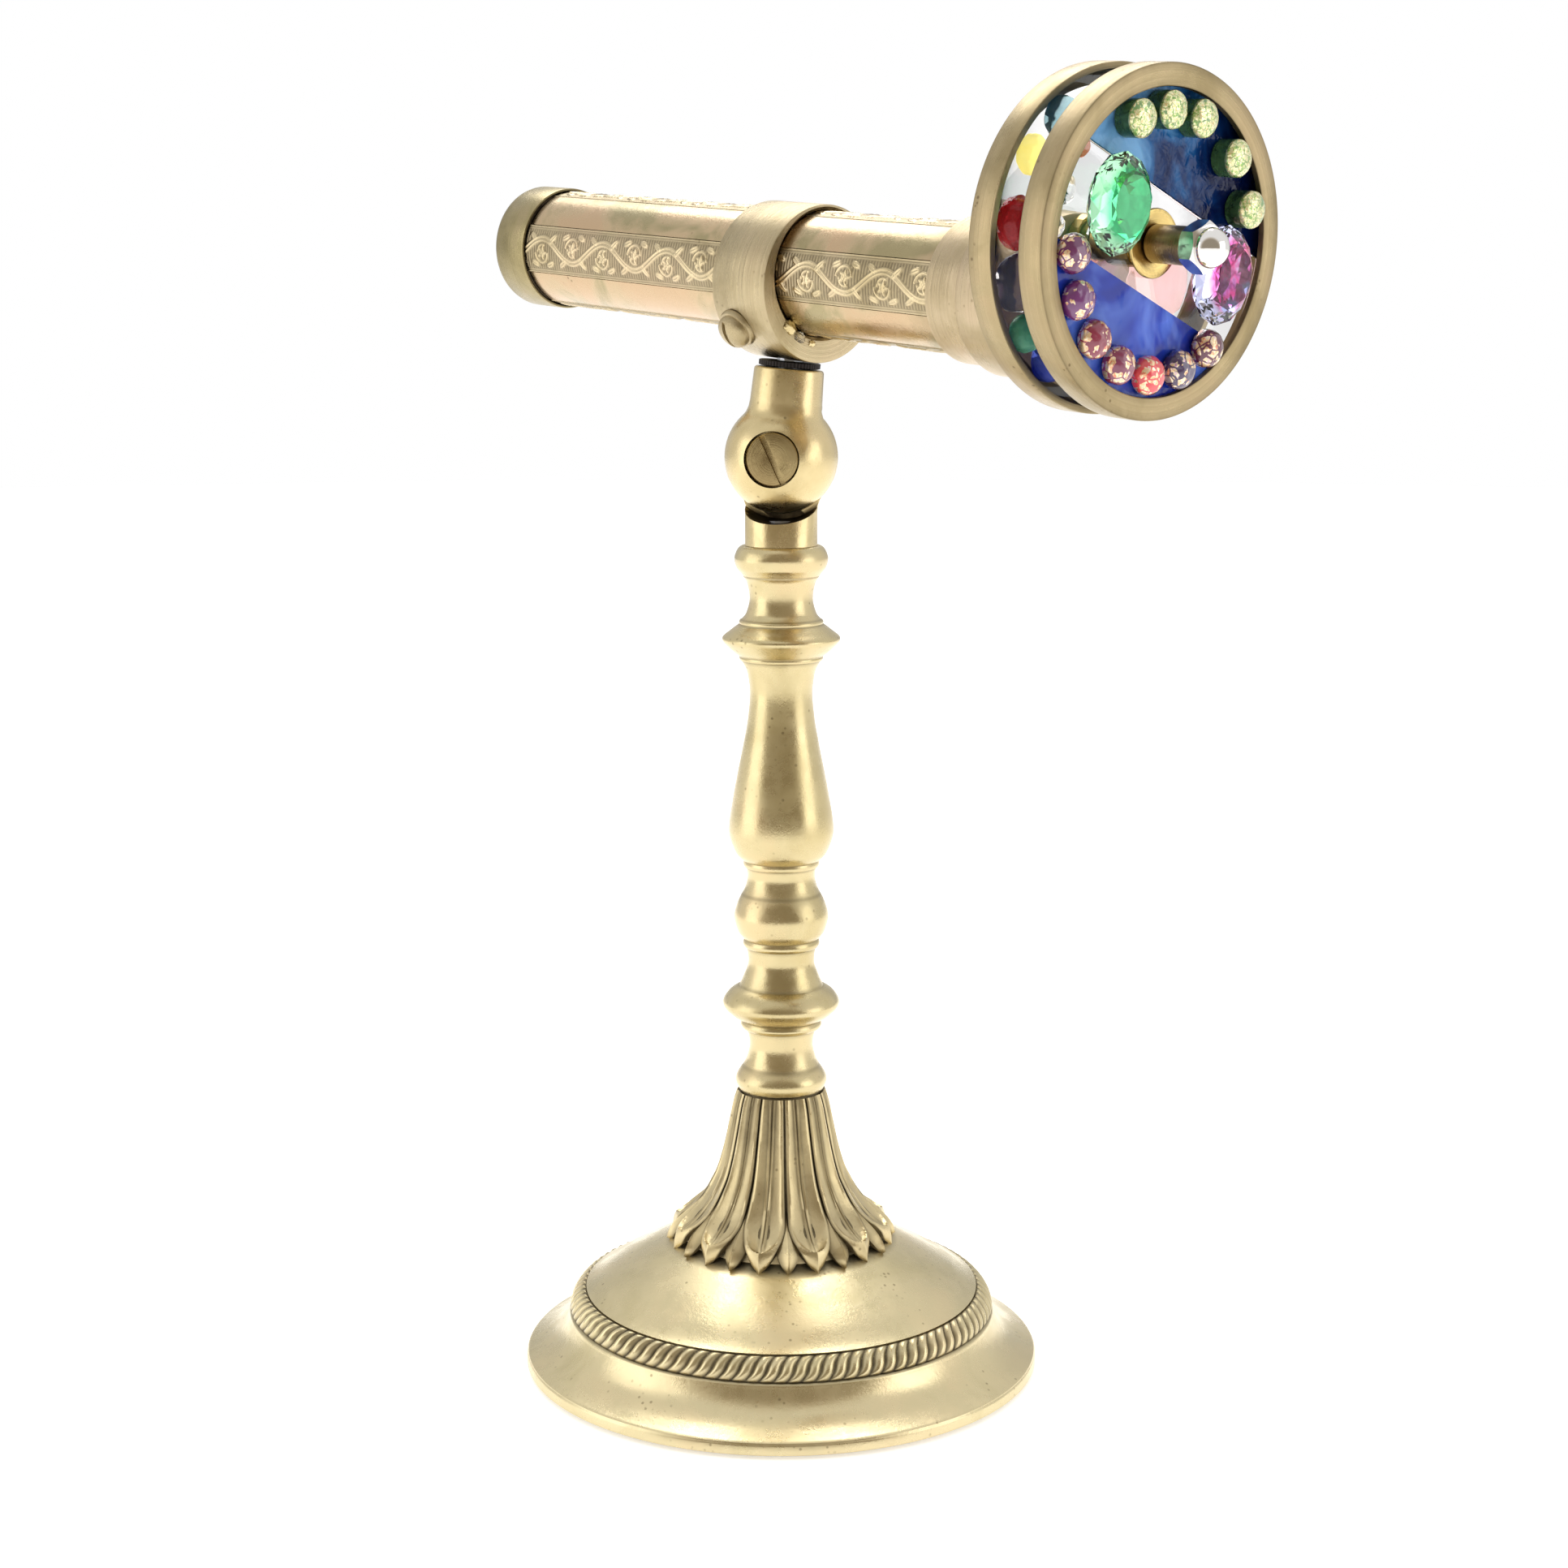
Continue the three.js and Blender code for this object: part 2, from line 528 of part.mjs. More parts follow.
function buildFrontWheel(head) {
  const wheel = new THREE.Group();
  wheel.position.set(FRONT_WHEEL_X, 0, AXLE_Z);
  wheel.rotation.x = BAND_ANGLE;
  head.add(wheel);
  const brass = metal(RIM_BRASS, 0.36);
  piece(wheel, 'front_wheel_rim', alongX(rimOutline(1), 36), brass);

  const front = BAND_GLASS_FRONT;
  const back = front - PLATE_T;
  const lowerFront = WHEEL_HALF - FLANGE_T - GAP;
  const upper = plateAlongX(segmentShape(BAND_HALF), back, front, 14);
  const lower = plateAlongX(segmentShape(BAND_HALF), lowerFront - PLATE_T, lowerFront, 14)
    .rotateX(Math.PI);
  piece(wheel, 'front_band_glass', plateAlongX(bandShape(), back, front, 10), plain(GLASS, 0.05));
  piece(wheel, 'front_upper_glass', upper, plain(0x0d3f63, 0.1));
  piece(wheel, 'front_lower_glass', lower, plain(0x1030b0, 0.1));

  const bush = tubeOutline(-WHEEL_HALF, front, BUSH_R, AXLE_BORE_R);
  piece(wheel, 'front_wheel_bush', alongX(bush, 16), brass);

  const seat = front + GAP;
  const green = polar(ovalJewel(seat), JEWEL_X, 177);
  const pink = polar(ovalJewel(seat), JEWEL_X, 3);
  piece(wheel, 'front_green_jewel', green, plain(0x1f9a55, 0.05));
  piece(wheel, 'front_pink_jewel', pink, plain(0xb44a86, 0.05));

  [135.5, 115.5, 94.5, 64.5, 39].forEach((degrees, i) => {
    const bead = polar(rodBead(seat, 6.6, ROD_BEAD_R), BEAD_RING_R, degrees);
    piece(wheel, `green_bead_${i + 1}`, bead, plain(0x3f5a2a, 0.15));
  });
  for (let i = 0; i < 7; i += 1) {
    const bead = cabochon(lowerFront + GAP, 5, RED_BEAD_R);
    piece(wheel, `red_bead_${i + 1}`, polar(bead, BEAD_RING_R, -152.5 + 20.4 * i), plain(0x7a2030, 0.15));
  }
}

function buildRearWheel(head) {
  const wheel = new THREE.Group();
  wheel.position.set(REAR_WHEEL_X, 0, AXLE_Z);
  head.add(wheel);
  const brass = metal(RIM_BRASS, 0.36);
  piece(wheel, 'rear_wheel_rim', alongX(rimOutline(-1), 36), brass);

  const back = -WHEEL_HALF + FLANGE_T + GAP;
  const front = back + PLATE_T;
  const disc = alongX(tubeOutline(back, front, GLASS_R, BUSH_R + GAP), 32);
  piece(wheel, 'rear_wheel_glass', disc, plain(GLASS, 0.05));
  const bush = tubeOutline(-WHEEL_HALF, WHEEL_HALF, BUSH_R, AXLE_BORE_R);
  piece(wheel, 'rear_wheel_bush', alongX(bush, 16), brass);

  const seat = front + GAP;
  const pieces = [
    ['rear_yellow_piece', 5.5, 5, 33.6, 148, 0xe6c832],
    ['rear_red_piece', 7, 6.7, 31, 177, 0x9c1020],
    ['rear_clear_piece', 5, 7.2, 31.6, -157, 0xd8dcdc],
    ['rear_green_piece', 6, 4.8, 34.6, -136, 0x1d7a48],
    ['rear_blue_piece', 5, 5.6, 33.6, -117, 0x1a35b8],
    ['rear_teal_piece', 5, 5.6, 33.4, 126, 0x2a6a78],
    ['rear_pink_piece', 4.5, 11, 22, -24, 0xe08a86],
  ];
  for (const [name, height, radius, distance, degrees, color] of pieces) {
    piece(wheel, name, polar(cabochon(seat, height, radius), distance, degrees), plain(color, 0.1));
  }
}

// ---- assembly --------------------------------------------------------------------------------

function buildHead() {
  const head = new THREE.Group();
  head.position.set(0, 0, BALL_Z).addScaledVector(NECK, BARREL_HEIGHT);
  const along = new THREE.Vector3(NECK.z, 0, -NECK.x).normalize();
  const aside = new THREE.Vector3().crossVectors(NECK, along);
  head.quaternion.setFromRotationMatrix(new THREE.Matrix4().makeBasis(along, aside, NECK));
  buildClampRing(head);
  buildMirrors(head);
  buildBarrel(head);
  buildAxle(head);
  buildRearWheel(head);
  buildFrontWheel(head);
  return head;
}

const kaleidoscope = new THREE.Group();
kaleidoscope.add(buildStand(), buildKnuckleLower(), buildKnuckleUpper(), buildHead());

export default kaleidoscope;
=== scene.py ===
"""Looks of the brass table kaleidoscope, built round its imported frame.

Lengths in the geometry functions are millimetres, in the frame of the seat that a piece is drawn
on. mesh_of() turns them into metres, and place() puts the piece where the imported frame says.
"""
import json
import math
import random
from collections import namedtuple

import bmesh
import bpy
import numpy as np
from mathutils import Matrix, Vector, noise


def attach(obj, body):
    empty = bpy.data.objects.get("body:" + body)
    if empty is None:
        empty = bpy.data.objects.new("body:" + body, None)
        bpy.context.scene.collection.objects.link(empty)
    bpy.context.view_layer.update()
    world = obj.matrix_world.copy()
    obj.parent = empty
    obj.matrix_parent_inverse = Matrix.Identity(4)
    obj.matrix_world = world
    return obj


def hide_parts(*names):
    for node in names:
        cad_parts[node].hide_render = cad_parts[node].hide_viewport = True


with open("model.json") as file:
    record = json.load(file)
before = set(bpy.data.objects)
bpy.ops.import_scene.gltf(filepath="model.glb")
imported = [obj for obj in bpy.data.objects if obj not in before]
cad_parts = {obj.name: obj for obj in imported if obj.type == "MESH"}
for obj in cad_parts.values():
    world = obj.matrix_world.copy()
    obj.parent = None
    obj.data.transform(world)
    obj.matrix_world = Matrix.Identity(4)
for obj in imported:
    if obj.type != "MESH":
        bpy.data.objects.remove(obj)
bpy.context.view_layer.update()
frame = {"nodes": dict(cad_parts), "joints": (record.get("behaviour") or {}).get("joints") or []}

MM = 0.001
TAU = 2 * math.pi
GAP = 0.3                       # between glued or moving pieces
SHARP = math.radians(35)        # edges sharper than this aren't smoothed

# ---- frames ------------------------------------------------------------------------------------

JOINTS = {joint["name"]: joint for joint in frame["joints"]}


def basis(x, z, origin):
    """Matrix of a frame with the given x and z axes and origin in metres."""
    x, z = Vector(x).normalized(), Vector(z).normalized()
    y = z.cross(x).normalized()
    m = Matrix((x, y, z)).transposed().to_4x4()
    m.translation = Vector(origin)
    return m


NECK_AXIS = Vector(JOINTS["barrel_swivel"]["axis"])
BARREL_AXIS = Vector(JOINTS["front_wheel_spin"]["axis"])
SCREW_AXIS = Vector(JOINTS["knuckle_tilt"]["axis"])
BALL_CENTRE = JOINTS["knuckle_tilt"]["pos_m"]
BAND_ANGLE = math.radians(-19.5)

def on_barrel_axis(joint):
    return basis(BARREL_AXIS, NECK_AXIS, JOINTS[joint]["pos_m"])


Seat = namedtuple("Seat", "matrix body")    # the frame a piece is drawn in, and what it rides on
STAND = Seat(Matrix.Identity(4), "stand")
BALL_LOWER = Seat(basis(SCREW_AXIS, (0, 0, 1), BALL_CENTRE), "stand")
BALL_UPPER = Seat(basis(SCREW_AXIS, NECK_AXIS, BALL_CENTRE), "neck")
HEAD = Seat(on_barrel_axis("barrel_swivel"), "head")
LOCK_RING = Seat(HEAD.matrix, "lock_ring_body")
HUB = Seat(on_barrel_axis("front_wheel_spin"), "head")
REAR_WHEEL = Seat(on_barrel_axis("rear_wheel_spin"), "rear_wheel")
FRONT_WHEEL = Seat(HUB.matrix @ Matrix.Rotation(BAND_ANGLE, 4, "X"), "front_wheel")

# ---- geometry helpers --------------------------------------------------------------------------


def smooth(points, steps=8):
    """Points on a curve through the given points that never overshoots them."""
    p = np.array(points, float)
    if len(p) < 3:
        return p
    length = np.linalg.norm(np.diff(p, axis=0), axis=1)[:, None]
    slope = np.diff(p, axis=0) / length
    tangent = np.zeros_like(p)
    same = slope[:-1] * slope[1:] > 0
    mean = 2 * slope[:-1] * slope[1:] / np.where(same, slope[:-1] + slope[1:], 1)
    tangent[1:-1] = np.where(same, mean, 0)
    tangent[0] = 1.5 * slope[0] - 0.5 * tangent[1]
    tangent[-1] = 1.5 * slope[-1] - 0.5 * tangent[-2]
    t = (np.arange(steps) / steps)[:, None]
    parts = []
    for i in range(len(p) - 1):
        h = length[i]
        parts.append((2 * t**3 - 3 * t**2 + 1) * p[i] + (t**3 - 2 * t**2 + t) * h * tangent[i]
                     + (3 * t**2 - 2 * t**3) * p[i + 1] + (t**3 - t**2) * h * tangent[i + 1])
    return np.vstack([*parts, p[-1:]])


def grid(points, wrap_rows=False, wrap_columns=False):
    """Vertices and quads of a rows x columns x 3 array of points."""
    rows, columns = points.shape[:2]
    index = np.arange(rows * columns).reshape(rows, columns)
    if wrap_rows:
        index = np.vstack([index, index[:1]])
    if wrap_columns:
        index = np.hstack([index, index[:, :1]])
    corners = [index[:-1, :-1], index[1:, :-1], index[1:, 1:], index[:-1, 1:]]
    return points.reshape(-1, 3), [tuple(q) for q in np.stack(corners, -1).reshape(-1, 4).tolist()]


def merge(shapes):
    """One shape from several."""
    vertices, faces, start = [], [], 0
    for verts, quads in shapes:
        vertices.append(verts)
        faces += [tuple(i + start for i in face) for face in quads]
        start += len(verts)
    return np.vstack(vertices), faces


def around_axis(along, radius, angle, axis="x"):
    """Rows and columns of points at their places along an axis, and round it."""
    along, a, b = np.broadcast_arrays(along, radius * np.cos(angle), radius * np.sin(angle))
    return np.stack([along, a, b] if axis == "x" else [a, b, along], -1)


def turned(outline, segments=96, axis="x", closed=False):
    """Surface turned from an outline of [along, radius]. A closed outline makes a ring."""
    outline = np.array(outline, float)
    angle = np.arange(segments) / segments * TAU
    points = around_axis(outline[:, :1], outline[:, 1:], angle, axis)
    return grid(points, wrap_rows=closed, wrap_columns=True)


def stained(rows, segments, axis="x"):
    """Ring turned from rows of [along, radius, darkening], and the darkening of each vertex."""
    rows = np.array(rows, float)
    return turned(rows[:, :2], segments, axis, closed=True), np.repeat(rows[:, 2], segments)


def loft(points):
    """Closed surface through rows of points round a section, with its two ends capped."""
    verts, faces = grid(points, wrap_columns=True)
    return verts, faces + end_caps(len(verts), points.shape[1])


def end_caps(total, count):
    return [tuple(range(count)), tuple(range(total - count, total))]


def tube(start, end, outer, inner=0, edge=0.3):
    """Outline of a tube or rod with small rounded outer edges."""
    return [[start, inner], [start, outer - edge], [start + edge * 0.3, outer - edge * 0.3],
            [start + edge, outer], [end - edge, outer], [end - edge * 0.3, outer - edge * 0.3],
            [end, outer - edge], [end, inner]]


def block(low, high):
    corners = np.array([[(low, high)[(i >> k) & 1][k] for k in range(3)] for i in range(8)], float)
    return corners, [(0, 2, 3, 1), (4, 5, 7, 6), (0, 1, 5, 4), (2, 6, 7, 3), (0, 4, 6, 2),
                     (1, 3, 7, 5)]


def plate(outline, back, front):
    """Plate drawn in the y, z plane and thickened along x, with a small bevel on both faces."""
    edge = 0.12
    outline = np.array(outline, float)
    centre = outline.mean(0)
    reach = np.linalg.norm(outline - centre, axis=1, keepdims=True)
    inner = centre + (outline - centre) * (reach - edge) / reach
    rings = [(back, inner), (back + edge, outline), (front - edge, outline), (front, inner)]
    return loft(np.array([np.column_stack([np.full(len(outline), x), ring])
                          for x, ring in rings]))


def transformed(shape, matrix):
    m = np.array(matrix)
    return shape[0] @ m[:3, :3].T + m[:3, 3], shape[1]


def unit(value):
    return np.clip(value, 0, 1)


def cleaned(mesh, sharp, weld=None, outward=False):
    """Welds a mesh's points and turns its faces outward where asked, then smooths its faces."""
    bm = bmesh.new()
    bm.from_mesh(mesh)
    if weld:
        bmesh.ops.remove_doubles(bm, verts=bm.verts, dist=weld)
    if outward:
        bmesh.ops.recalc_face_normals(bm, faces=bm.faces)
    for face in bm.faces:
        face.smooth = sharp > 0
    if sharp < math.pi:
        for edge in bm.edges:
            edge.smooth = len(edge.link_faces) == 2 and edge.calc_face_angle(0) < sharp
    bm.to_mesh(mesh)
    bm.free()
    return mesh


def mesh_of(shape, sharp=SHARP, weld=True):
    """Mesh in metres with outward faces, smooth except at its sharp edges."""
    mesh = bpy.data.meshes.new("shape")
    mesh.from_pydata((shape[0] * MM).tolist(), [], shape[1])
    return cleaned(mesh, sharp, 1e-6 if weld else None, outward=True)


def shape_of(mesh):
    return (np.array([v.co[:] for v in mesh.vertices]) / MM,
            [tuple(p.vertices) for p in mesh.polygons])


def linked(name, data):
    """New object in the scene."""
    thing = bpy.data.objects.new(name, data)
    bpy.context.scene.collection.objects.link(thing)
    return thing


def paint(mesh, values):
    """Stores one value per vertex: patina and painted shade on brass, painted light on jewels."""
    layer = mesh.attributes.new("patina_and_painted_light", "FLOAT", "POINT")
    layer.data.foreach_set("value", np.asarray(values, np.float32))


def carve(base, *steps, bevel=0.25, sharp=SHARP):
    """Boolean steps of (operation, shape) on a base shape, then a small bevel on sharp edges."""
    body = linked("carve", mesh_of(base))
    tools = [linked("tool", mesh_of(shape)) for _, shape in steps]
    for (operation, _), tool in zip(steps, tools):
        modifier = body.modifiers.new("cut", "BOOLEAN")
        modifier.operation, modifier.object, modifier.solver = operation, tool, "EXACT"
    if bevel:
        modifier = body.modifiers.new("edge", "BEVEL")
        modifier.width, modifier.segments = bevel * MM, 2
        modifier.limit_method, modifier.angle_limit = "ANGLE", math.radians(40)
    graph = bpy.context.evaluated_depsgraph_get()
    mesh = bpy.data.meshes.new_from_object(body.evaluated_get(graph))
    for thing in [body, *tools]:
        bpy.data.objects.remove(thing)
    return cleaned(mesh, sharp, 2e-6)


def place(name, shape, seat, material, slot, *nodes, patina_and_painted_light=None, sharp=SHARP):
    """Makes a piece, puts it on its seat and hides the CAD nodes it stands in for.

    A shape with vertex values isn't welded, so that each of its vertices keeps its own value."""
    mesh = shape if isinstance(shape, bpy.types.Mesh) else mesh_of(shape, sharp, patina_and_painted_light is None)
    mesh.transform(seat.matrix)
    mesh.name = name
    if patina_and_painted_light is not None:
        paint(mesh, patina_and_painted_light)
    mesh.materials.clear()
    mesh.materials.append(material)
    piece = linked(name, mesh)
    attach(piece, seat.body)
    if nodes:
        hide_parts(*nodes)
    return piece


# ---- materials ---------------------------------------------------------------------------------


class Recipe:
    """The node tree of a material, or of the world, under construction."""

    def __init__(self, owner, output="ShaderNodeOutputMaterial"):
        owner.use_nodes = True
        self.owner, self.tree = owner, owner.node_tree
        self.tree.nodes.clear()
        self.output = self.add(output)

    def add(self, kind, *values, **settings):
        node = self.tree.nodes.new(kind)
        for key, value in settings.items():
            setattr(node, key, value)
        for socket, value in zip(node.inputs, values):
            self.set(socket, value)
        return node

    def set(self, socket, value):
        if isinstance(value, bpy.types.NodeSocket):
            self.tree.links.new(value, socket)
        elif value is not None:
            socket.default_value = value

    def fill(self, node, **sockets):
        for key, value in sockets.items():
            self.set(node.inputs[key.replace("_", " ")], value)
        return node

    def coordinates(self, kind="Object"):
        return self.add("ShaderNodeTexCoord").outputs[kind]

    def vector(self, operation, *values, output="Vector"):
        return self.add("ShaderNodeVectorMath", *values, operation=operation).outputs[output]

    def around(self, matrix):
        """Coordinates that change only along a frame's x axis and with the distance from it."""
        origin, axis = matrix.translation, tuple(matrix.col[0].xyz)
        away = self.vector("SUBTRACT", self.coordinates(), tuple(origin))
        along = self.vector("DOT_PRODUCT", away, axis, output="Value")
        on_axis = self.add("ShaderNodeCombineXYZ", *[self.math("MULTIPLY", along, c)
                                                     for c in axis]).outputs[0]
        radius = self.vector("DISTANCE", away, on_axis, output="Value")
        return self.add("ShaderNodeCombineXYZ", along, radius, 0.0).outputs[0]

    def math(self, operation, *values, **settings):
        return self.add("ShaderNodeMath", *values, operation=operation, **settings).outputs[0]

    def noise(self, vector, scale, detail=3.0, roughness=0.55, distortion=0.0):
        return self.fill(self.add("ShaderNodeTexNoise"), Vector=vector, Scale=scale, Detail=detail,
                         Roughness=roughness, Distortion=distortion).outputs["Fac"]

    def cells(self, vector, scale, feature="F1"):
        return self.fill(self.add("ShaderNodeTexVoronoi", feature=feature), Vector=vector,
                         Scale=scale).outputs["Distance"]

    def range(self, value, low, high, to_low=0.0, to_high=1.0):
        return self.fill(self.add("ShaderNodeMapRange", interpolation_type="SMOOTHSTEP"),
                         Value=value, From_Min=low, From_Max=high, To_Min=to_low,
                         To_Max=to_high).outputs[0]

    def mix(self, factor, first, second):
        return self.add("ShaderNodeMix", factor, None, first, second).outputs[0]

    def blend(self, factor, first, second):
        node = self.add("ShaderNodeMix", factor, data_type="RGBA")
        self.set(node.inputs[6], rgba(first))
        self.set(node.inputs[7], rgba(second))
        return node.outputs[2]

    def ramp(self, factor, *stops):
        node = self.add("ShaderNodeValToRGB", factor)
        elements = node.color_ramp.elements
        while len(elements) < len(stops):
            elements.new(0.5)
        for element, (position, colour) in zip(elements, stops):
            element.position, element.color = position, rgba(colour)
        return node.outputs[0]

    def bump(self, height, strength, distance=0.0002, normal=None):
        return self.fill(self.add("ShaderNodeBump"), Height=height, Strength=strength,
                         Distance=distance, Normal=normal).outputs[0]

    def attribute(self, name):
        return self.add("ShaderNodeAttribute", attribute_name=name).outputs["Fac"]

    def surface(self, **sockets):
        shader = self.fill(self.add("ShaderNodeBsdfPrincipled"),
                           **{key: rgba(value) for key, value in sockets.items()})
        self.set(self.output.inputs[0], shader.outputs[0])
        return self.owner


def new_material(name):
    return Recipe(bpy.data.materials.new(name))


def rgba(colour):
    return (*colour, 1.0) if isinstance(colour, tuple) and len(colour) == 3 else colour


SPECK = (0.10, 0.06, 0.025)


def brass(name, light, warm, dark, gloss=(0.2, 0.34), brushed=None, grain=0.25, specks=0.5,
          spread=0.16):
    """Old brass: tarnish drifts between three tones, with specks, patina and painted shade."""
    r = new_material(name)
    here = r.coordinates()
    drift = r.noise(here, 38.0, 4.0, 0.6, 0.6)
    colour = r.ramp(drift, (0.5 - spread, dark), (0.50, light), (0.5 + spread, warm))
    clouds = r.noise(here, 160.0, 5.0, 0.7)
    colour = r.blend(r.range(clouds, 0.55, 0.8, 0.0, 0.2), colour, dark)
    dots = r.cells(here, 420.0)
    rare = r.range(r.noise(here, 90.0, 2.0), 0.54, 0.66)
    dots = r.math("MULTIPLY", r.range(dots, 0.10, 0.24, specks, 0.0), rare)
    colour = r.blend(dots, colour, SPECK)
    # per-vertex value: patina in recesses, and painted shade in gaps where a piece sets it
    patina_and_painted_light = r.attribute("patina_and_painted_light")
    darkening = r.math("MULTIPLY", patina_and_painted_light, r.range(clouds, 0.2, 0.75, 0.75, 1.0))
    colour = r.blend(darkening, colour, (0.035, 0.026, 0.018))
    rough = r.range(r.noise(here, 90.0, 5.0, 0.65), 0.3, 0.7, *gloss)
    rough = r.math("ADD", rough, r.math("MULTIPLY", patina_and_painted_light, 0.3))
    normal = r.bump(r.noise(here, 900.0, 4.0, 0.7), grain)
    if brushed:
        matrix, strength = brushed
        lines = r.noise(r.around(matrix), 3600.0, 3.0, 0.8)
        normal = r.bump(lines, strength, normal=normal)
        colour = r.blend(r.range(lines, 0.35, 0.62, 0.0, 0.35), colour, dark)
        rough = r.math("ADD", rough, r.range(lines, 0.3, 0.7, -0.05, 0.08))
    return r.surface(Base_Color=colour, Metallic=1.0, Roughness=rough, Normal=normal)


RING_FRAME = HEAD.matrix @ Matrix.Translation((0, 0, -2.71 * MM))
BRASS = brass("antique_brass", (0.61, 0.51, 0.285), (0.65, 0.52, 0.29), (0.55, 0.45, 0.235))
FOOT_BRASS = brass("foot_brass", (0.67, 0.57, 0.34), (0.70, 0.58, 0.345), (0.60, 0.51, 0.29))
BALL_BRASS = brass("knuckle_brass", (0.66, 0.535, 0.29), (0.71, 0.56, 0.31),
                   (0.56, 0.445, 0.225))
LEAF_BRASS = brass("leaf_brass", (0.62, 0.51, 0.29), (0.68, 0.56, 0.31), (0.47, 0.38, 0.21),
                   (0.24, 0.4), grain=0.4)
BARREL_BRASS = brass("coppery_barrel_brass", (0.51, 0.385, 0.23), (0.53, 0.375, 0.225),
                     (0.35, 0.29, 0.155), grain=0.3, spread=0.1)
STRIP_BRASS = brass("embossed_strip_brass", (0.60, 0.49, 0.30), (0.62, 0.485, 0.305),
                    (0.47, 0.375, 0.21), (0.2, 0.32))
RING_BRASS = brass("brushed_ring_brass", (0.49, 0.40, 0.24), (0.52, 0.415, 0.255),
                   (0.36, 0.285, 0.155), (0.24, 0.34), (RING_FRAME, 0.8))
COLLAR_BRASS = brass("brushed_collar_brass", (0.56, 0.445, 0.285), (0.60, 0.455, 0.305),
                     (0.43, 0.34, 0.20), (0.26, 0.38), (HEAD.matrix, 0.8))
CAP_BRASS = brass("eyepiece_brass", (0.36, 0.295, 0.15), (0.42, 0.325, 0.19), (0.24, 0.195, 0.09),
                  (0.22, 0.34), (HEAD.matrix, 0.2))
WHEEL_BRASS = brass("wheel_rim_brass", (0.40, 0.315, 0.175), (0.43, 0.325, 0.185),
                    (0.29, 0.225, 0.115), (0.24, 0.38), (FRONT_WHEEL.matrix, 0.35), specks=0.7)
HUB_BRASS = brass("hub_brass", (0.62, 0.46, 0.18), (0.68, 0.50, 0.20), (0.46, 0.33, 0.11),
                  (0.12, 0.24), (FRONT_WHEEL.matrix, 0.15))
SLEEVE_BRASS = brass("sleeve_brass", (0.30, 0.22, 0.11), (0.36, 0.25, 0.12), (0.20, 0.14, 0.07),
                     (0.24, 0.36), (FRONT_WHEEL.matrix, 0.3))
SCREW_BRASS = brass("screw_brass", (0.40, 0.31, 0.15), (0.46, 0.34, 0.17), (0.28, 0.20, 0.09),
                    (0.24, 0.36), (BALL_UPPER.matrix, 0.3))


def plain_metal(name, colour, rough, lines=0.1):
    r = new_material(name)
    here = r.coordinates()
    smudge = r.range(r.noise(here, 120.0, 4.0), 0.35, 0.7, rough, rough + 0.12)
    shade = tuple(0.8 * c for c in colour)
    tone = r.blend(r.range(r.noise(here, 70.0, 3.0), 0.4, 0.7, 0.0, 0.6), colour, shade)
    return r.surface(Base_Color=tone, Metallic=1.0, Roughness=smudge,
                     Normal=r.bump(r.noise(here, 1400.0, 3.0), lines, 0.0001))


NICKEL = plain_metal("polished_nickel", (0.80, 0.78, 0.75), 0.05, 0.03)
STEEL = plain_metal("plain_steel", (0.52, 0.53, 0.55), 0.3)
MIRROR = plain_metal("front_surface_mirror", (0.92, 0.93, 0.94), 0.02, 0.01)
BLACKENED = plain_metal("blackened_steel", (0.035, 0.03, 0.028), 0.35, 0.4)


def matt(name, colour, scale, relief):
    r = new_material(name)
    here = r.coordinates()
    fibres = r.noise(here, scale, 6.0, 0.8, 1.2)
    shade = tuple(0.55 * c for c in colour)
    return r.surface(Base_Color=r.blend(fibres, shade, colour), Roughness=0.95,
                     Normal=r.bump(fibres, relief, 0.0004))


FELT = matt("green_felt", (0.03, 0.09, 0.05), 1500.0, 0.8)
FOAM = matt("grey_foam", (0.06, 0.06, 0.065), 900.0, 0.7)
CARD = matt("black_card", (0.02, 0.02, 0.02), 1200.0, 0.2)


def glass(name, *stops, scale=60.0, clear=1.0, rough=0.02, ripple=0.15, ripple_scale=90.0,
          distortion=0.8, ior=1.45, glow=0.0, slope=None, rim=None):
    """Clear or coloured glass. Its tone drifts through the stops, and its surface ripples.

    glow is painted light, standing in for the light gathered inside a frosted piece; slope
    shifts the tone along a direction, per metre, and rim is a painted highlight, the lighter
    tone where the vertex value is 1."""
    r = new_material(name)
    here = r.coordinates()
    tone = r.noise(here, scale, 3.0, 0.6, distortion)
    if slope:
        matrix, rate = slope
        away = r.vector("SUBTRACT", here, tuple(matrix.translation))
        along = r.vector("DOT_PRODUCT", away, tuple(matrix.col[1].xyz * rate), output="Value")
        tone = r.math("ADD", tone, along)
    colour = r.ramp(tone, *stops)
    # painted highlight: the rim tone lightens the glass where the vertex value is high
    if rim:
        colour = r.blend(r.range(r.attribute("patina_and_painted_light"), 0.35, 0.8), colour, rim)
    normal = r.bump(r.noise(here, ripple_scale, 2.0, 0.5, 0.5), ripple, 0.0006)
    return r.surface(Base_Color=colour, Roughness=rough, IOR=ior, Transmission_Weight=clear,
                     Emission_Color=colour, Emission_Strength=glow, Normal=normal)


